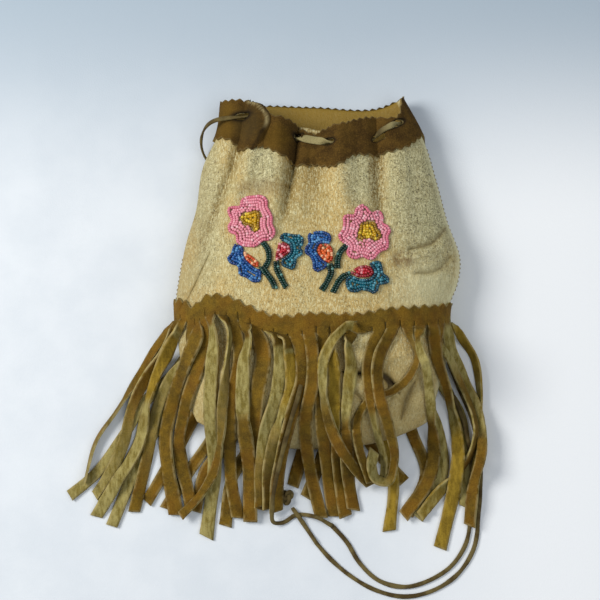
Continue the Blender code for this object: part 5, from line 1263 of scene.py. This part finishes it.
def fringe_look():
    """Suede strips: brown, then cream, then gold by the tone mark, with paler cut edges."""
    look = Look("fringe", Roughness=0.9, Specular_IOR_Level=0.2)
    tone, edge = look.mark("tone"), look.mark("edge")
    clouds, nap = look.noise(8, 5, 0.65), look.noise(0.6, 3, 0.6)
    wisps = look.noise(1, 4, 0.6, look.stretched(2.5, 9, 6))
    brown = look.mix(clouds.between(0.3, 0.7), STRIP_DARK, STRIP_BROWN)
    brown = look.mix(look.noise(22, 3).between(0.42, 0.62) * 0.4, brown, STRIP_RUST)
    cream = look.mix(wisps.between(0.36, 0.66), STRIP_CREAM, STRIP_OLIVE)
    gold = look.mix(wisps.between(0.36, 0.66), STRIP_GOLD, STRIP_OCHRE)
    tone = tone + (wisps - 0.5) * 0.25
    base = look.mix(tone.between(0.12, 0.42), brown, cream)
    base = look.mix(tone.between(0.55, 0.85), base, gold)
    base = look.mix((1.0 - nap.between(0.38, 0.5)) * 0.35, base, STRIP_PIT)
    base = look.mix(nap.between(0.5, 0.7) * 0.45, base, STRIP_NAP)
    base = look.mix(edge * look.noise(5).between(0.35, 0.6) * 0.55, base, CUT_EDGE)
    base = look.mix(look.mark("inner") * (1.0 - edge) * 0.4, base, STRIP_CREAM)
    return look.finish(base, None, nap * 0.6 + wisps * 0.7, 0.6, 0.0005)


def lace_look():
    """Olive-brown cut lace with a fine grain, paler where it lies flat in front of the mouth."""
    look = Look("lace", Roughness=0.8, Specular_IOR_Level=0.25)
    clouds, grain = look.noise(9, 4), look.noise(0.8, 4, 0.65)
    base = look.mix(clouds.between(0.36, 0.64), LACE_DARK, LACE_LIGHT)
    base = look.colour_and_light_patches(base, ((20, 117, 26, 14), 0.85, LACE_PALE), ((78, 126, 18, 16), 0.8, LACE_PALE))
    base = look.mix(grain.between(0.5, 0.7) * 0.5, base, STRIP_DARK)
    return look.finish(base, None, grain + clouds * 0.5, 0.5, 0.0004)


def thread_look():
    """Pale sinew thread."""
    look = Look("thread", Roughness=0.6)
    base = look.mix(look.noise(2).between(0.35, 0.65), THREAD_DARK, THREAD_PALE)
    return look.finish(base, None, look.noise(0.5), 0.3, 0.0002)


def bead_look(name, dark, main, light, pale):
    """Glass seed beads: dark to main by the shade mark, a share of them lighter by their luck as painted
    glints.
    """
    look = Look(name, Roughness=0.4, Coat_Weight=0.12, Coat_Roughness=0.2)
    shade, luck = look.mark("shade"), look.mark("luck")
    base = look.mix(shade.between(0.0, 1.0), dark, main)
    base = look.mix(luck.between(1.0 - pale, 1.0 - pale * 0.4) * 0.7, base, light)
    return look.finish(base, 0.25 + luck * 0.2, look.noise(0.8), 0.08, 0.0002)


def floor_look():
    """Pale bluish cloth with a fine weave, paler to the right and darker to the back and far away."""
    look = Look("floor", Roughness=0.95)
    weave = look.noise(0.9, 2) + look.noise(30, 3) * 0.6
    back = look.node("ShaderNodeSeparateXYZ", {}, look.place, out="Y").between(60, 230)
    right = look.node("ShaderNodeSeparateXYZ", {}, look.place, out="X").between(20, 190)
    # Painted shade of soft cloth folds, in broad clouds
    base = look.mix(look.noise(40, 4).between(0.3, 0.7), FLOOR_DULL, FLOOR_PALE)
    # Painted light to the right, painted shade to the back
    base = look.mix(right, base, FLOOR_BRIGHT)
    base = look.mix(back, base, FLOOR_BACK)
    base = look.mix(look.spot(0, 0, 900), FLOOR_AROUND, base)
    return look.finish(base, None, weave, 0.25, 0.0004)


# Bead colours: dark, main, light for painted glints, and the share of beads with glints
BEAD_COLOURS = {
    "beads_pink": ((206, 104, 126), (229, 149, 162), (240, 190, 196), 0.15),
    "beads_yellow": ((132, 96, 2), (204, 158, 4), (246, 216, 60), 0.25),
    "beads_blue": ((12, 46, 104), (30, 92, 156), (96, 154, 200), 0.25),
    "beads_teal": ((4, 52, 70), (18, 104, 120), (92, 160, 176), 0.22),
    "beads_red": ((130, 12, 24), (196, 34, 52), (240, 176, 180), 0.3),
    "beads_orange": ((178, 58, 12), (226, 104, 40), (246, 196, 150), 0.3),
    "beads_green": ((2, 28, 22), (10, 62, 48), (110, 160, 150), 0.12),
}
LOOKS = {"hide": hide_look(), "suede": suede_look(), "fringe": fringe_look(), "lace": lace_look(),
         "thread": thread_look()}
for slot, (dark, main, light, pale) in BEAD_COLOURS.items():
    LOOKS[slot] = bead_look(slot, rgb(*dark), rgb(*main), rgb(*light), pale)


# The pouch

front_level = pairs(((-0.9, 131), *HOLES, (0.95, 131)))
back_level = pairs(((-1, 127), (0, 126), (1, 129)))
FRONT_HOLES = [Hole(front_inside, front_rim, 1, a, front_level) for a, y in HOLES]
BACK_HOLES = [Hole(back_inside, back_rim, -1, BACK_HOLE[0], back_level)]
front = hide_panel("front_hide", front_inside, front_rim, 1, FRONT_GRID, FRONT_HOLES, LOOKS["hide"])
back = hide_panel("back_hide", back_inside, back_rim, -1, BACK_GRID, BACK_HOLES, LOOKS["hide"])
cuff = collar_ring(LOOKS["suede"])
seat(front, "hide", "front_panel")
seat(back, "hide", "back_panel")
seat(cuff, "suede", "collar")

# What lies lower is laid first: back strips, the lace's tails, the pouch, front strips, the lace's ends
ground = Heights()
flat_strips = [(slot, route, ((0, tone), (1, tone)), ((0, 0), (1, 0)), 1.0)
               for slot, (route, tone) in enumerate(BACK_STRIPS)]
back_fringe = fringe("back_strips", back_bands(), flat_strips, ground, LOOKS["fringe"], 300)
tail_one = lay_lace(ground, TAIL_ONE)
tail_two = lay_lace(ground, TAIL_TWO)
skin_across, skin_along = np.meshgrid(spaced(640), risen(860))
ground.raise_to(over(front_inside, skin_across, skin_along, HIDE + GAP, 1))
front_fringe = fringe("front_strips", front_bands(), FRONT_STRIPS, ground, LOOKS["fringe"], 100)
end_one = lay_lace(ground, END_ONE)
end_two = lay_lace(ground, END_TWO)
seat(back_fringe, "fringe", "fringe_back")
seat(front_fringe, "fringe", "fringe_front")

# The lace: both tails' first points join the neck, which runs through the holes and round behind the mouth
mouth = np.linspace(-0.88, 0.94, 130)
mouth = threaded(mouth, front_level, front_rim, front_inside, 1, inside_out(mouth, [a for a, y in HOLES]))
behind = np.linspace(0.86, BACK_HOLE[0] - 0.05, 60)
behind = threaded(behind, back_level, back_rim, back_inside, -1, inside_out(behind, [BACK_HOLE[0]]))
joined_one, joined_two = 4, 6
neck = spline(np.vstack([tail_one[:joined_one][::-1], CLIMB, mouth, behind, tail_two[:joined_two]]), 340)
neck, neck_ups = keep_clear(neck, [front, back, cuff], 1.2)
before = np.vstack([end_one[:0:-1], tail_one[joined_one:][::-1]])
after = np.vstack([tail_two[joined_two:], end_two[1:]])
ups = np.vstack([np.tile(UPWARD, (len(before), 1)), neck_ups, np.tile(UPWARD, (len(after), 1))])
for _ in range(6):
    ups[1:-1] = (ups[:-2] + ups[1:-1] + ups[2:]) / 3
# The ways up ride along with the places, too small to count in the length
lace_line = spline(np.hstack([np.vstack([before, neck, after]), ups * 0.001]), LACE_POINTS)
lace_line, ups = lace_line[:, :3], unit(lace_line[:, 3:])
# It lies flat and broad in two stretches in the front of the mouth
lace_x, lace_y, lace_z = lace_line.T
shown = (lace_y > 106) & (lace_z > 20) & (ups[:, 2] > 0.2)
broad = shown * (1.35 * (np.abs(lace_x - 19) < 19) + np.clip((lace_x - 60) / 18, 0, 1) * (lace_x < 86) * 1.2)
broad = np.convolve(broad, np.ones(3) / 3, mode="same")
share = np.linspace(0, 100, LACE_POINTS)
lace = sweep("lace", lace_line, ups, LACE_HALF + 0.16 * waves(share, 0, 1.2, 8) + broad,
             LACE_THIN + 0.08 * waves(share, 0, 1, 9), LOOKS["lace"], power=0.6)

t = np.linspace(0, 2 * np.pi, KNOT_POINTS, endpoint=False)
knot_z = ground.at(np.array(KNOT[0]), np.array(KNOT[1])) + 2.2
knot_line = np.stack([KNOT[0] + KNOT_SIZE * (np.sin(t) + 2 * np.sin(2 * t)),
                      KNOT[1] + 1.2 * KNOT_SIZE * (np.cos(t) - 2 * np.cos(2 * t)),
                      knot_z - KNOT_SIZE * np.sin(3 * t)], 1)
knot = sweep("knot", knot_line, np.tile(UPWARD, (KNOT_POINTS, 1)), 1.3, 1.05, LOOKS["lace"], closed=True)
seat(lace, "lace", "drawstring")
seat(knot, "lace", "lace_knot")
path = [tuple(float(c) for c in p) for p in (lace_line + SHIFT) * 0.001]

# Whip stitches: name, edge of the panels, its side, first and last y
THREADS = (("seam_thread_left", left_edge, -1, 6, 40), ("seam_thread_right", right_edge, 1, 6, 114))
for name, edge, sign, low, high in THREADS:
    share = np.linspace(0, 1, THREAD_POINTS)
    y = low + (high - low) * share
    wind = share * (high - low) / STITCH_PITCH * 2 * np.pi
    x = edge(y) + sign * (-1.1 + STITCH_REACH * np.cos(wind))
    points = np.stack([x, y, SEAM_HEIGHT + STITCH_REACH * np.sin(wind)], 1)
    ahead = np.tile((0.0, 1.0, 0.0), (THREAD_POINTS, 1))
    thread = sweep(name + "_line", points, ahead, THREAD_HALF, THREAD_HALF, LOOKS["thread"], sides=6)
    seat(thread, "thread", name)

# Bead fields: name, outline, holes and slot
FIELDS = (
    ("rose_left_petals", ROSE_LEFT, (ROSE_LEFT_HEART,), "beads_pink"),
    ("rose_left_heart", ROSE_LEFT_HEART, (), "beads_yellow"),
    ("rose_right_petals", ROSE_RIGHT, (ROSE_RIGHT_HEART,), "beads_pink"),
    ("rose_right_heart", ROSE_RIGHT_HEART, (), "beads_yellow"),
    ("bud_left_blue", BUD_LEFT_BLUE, (BUD_LEFT_ORANGE,), "beads_blue"),
    ("bud_left_orange", BUD_LEFT_ORANGE, (), "beads_orange"),
    ("bud_left_teal", BUD_LEFT_TEAL, (BUD_LEFT_RED,), "beads_teal"),
    ("bud_left_red", BUD_LEFT_RED, (), "beads_red"),
    ("bud_right_blue", BUD_RIGHT_BLUE, (BUD_RIGHT_ORANGE,), "beads_blue"),
    ("bud_right_orange", BUD_RIGHT_ORANGE, (), "beads_orange"),
    ("bud_right_teal", BUD_RIGHT_TEAL, (BUD_RIGHT_RED,), "beads_teal"),
    ("bud_right_red", BUD_RIGHT_RED, (), "beads_red"),
)
for seed, (name, outline, holes, slot) in enumerate(FIELDS):
    spots, turns, rows = field_beads(outline, holes, seed)
    beads = bead_mesh(name + "_beads", spots, turns, np.where(rows == 0, 0.25, 0.75), LOOKS[slot], seed)
    seat(beads, slot, name)
# Stems and leaves: their width as (share, mm)
LEAF = ((0, 3.3), (0.25, 5.4), (0.75, 5.4), (1, 3.3))
STEM = ((0, 3.9), (1, 3.9))
for seed, (name, line) in enumerate(STEMS.items()):
    spots, turns = line_beads(line, LEAF if name.endswith("1") else STEM)
    shades = np.full(len(spots), 0.5)
    beads = bead_mesh(name + "_beads", spots, turns, shades, LOOKS["beads_green"], 50 + seed)
    seat(beads, "beads_green", name)

# Stage
reach = 3000.0
floor_points = np.array([(-reach, -reach, 0), (reach, -reach, 0), (reach, reach, 0), (-reach, reach, 0)])
floor = put_mesh("floor", floor_points, np.array([[0, 1, 2, 3]]), floor_look())
for vertex in floor.data.vertices:
    vertex.co.z = 0.0


def area_light(name, place, aim, size, power, colour):
    """A square soft light at a place in metres, turned to its aim."""
    lamp = bpy.data.lights.new(name, "AREA")
    lamp.size, lamp.energy, lamp.color = size, power, colour
    thing = bpy.data.objects.new(name, lamp)
    bpy.context.scene.collection.objects.link(thing)
    thing.location = place
    thing.rotation_euler = (Vector(aim) - Vector(place)).to_track_quat("-Z", "Y").to_euler()


area_light("key", (-0.95, 0.2, 0.95), (0, 0, 0), 0.6, 15.5, (1.0, 0.98, 0.94))
area_light("fill", (0.6, -0.2, 1.3), (0, 0, 0), 1.0, 5.5, (0.94, 0.97, 1.0))
world = bpy.data.worlds.new("sky")
bpy.context.scene.world = world
world.use_nodes = True
world.node_tree.nodes["Background"].inputs[0].default_value = (0.86, 0.92, 1.0, 1.0)
world.node_tree.nodes["Background"].inputs[1].default_value = 0.33
bpy.context.scene.view_settings.view_transform = "Standard"
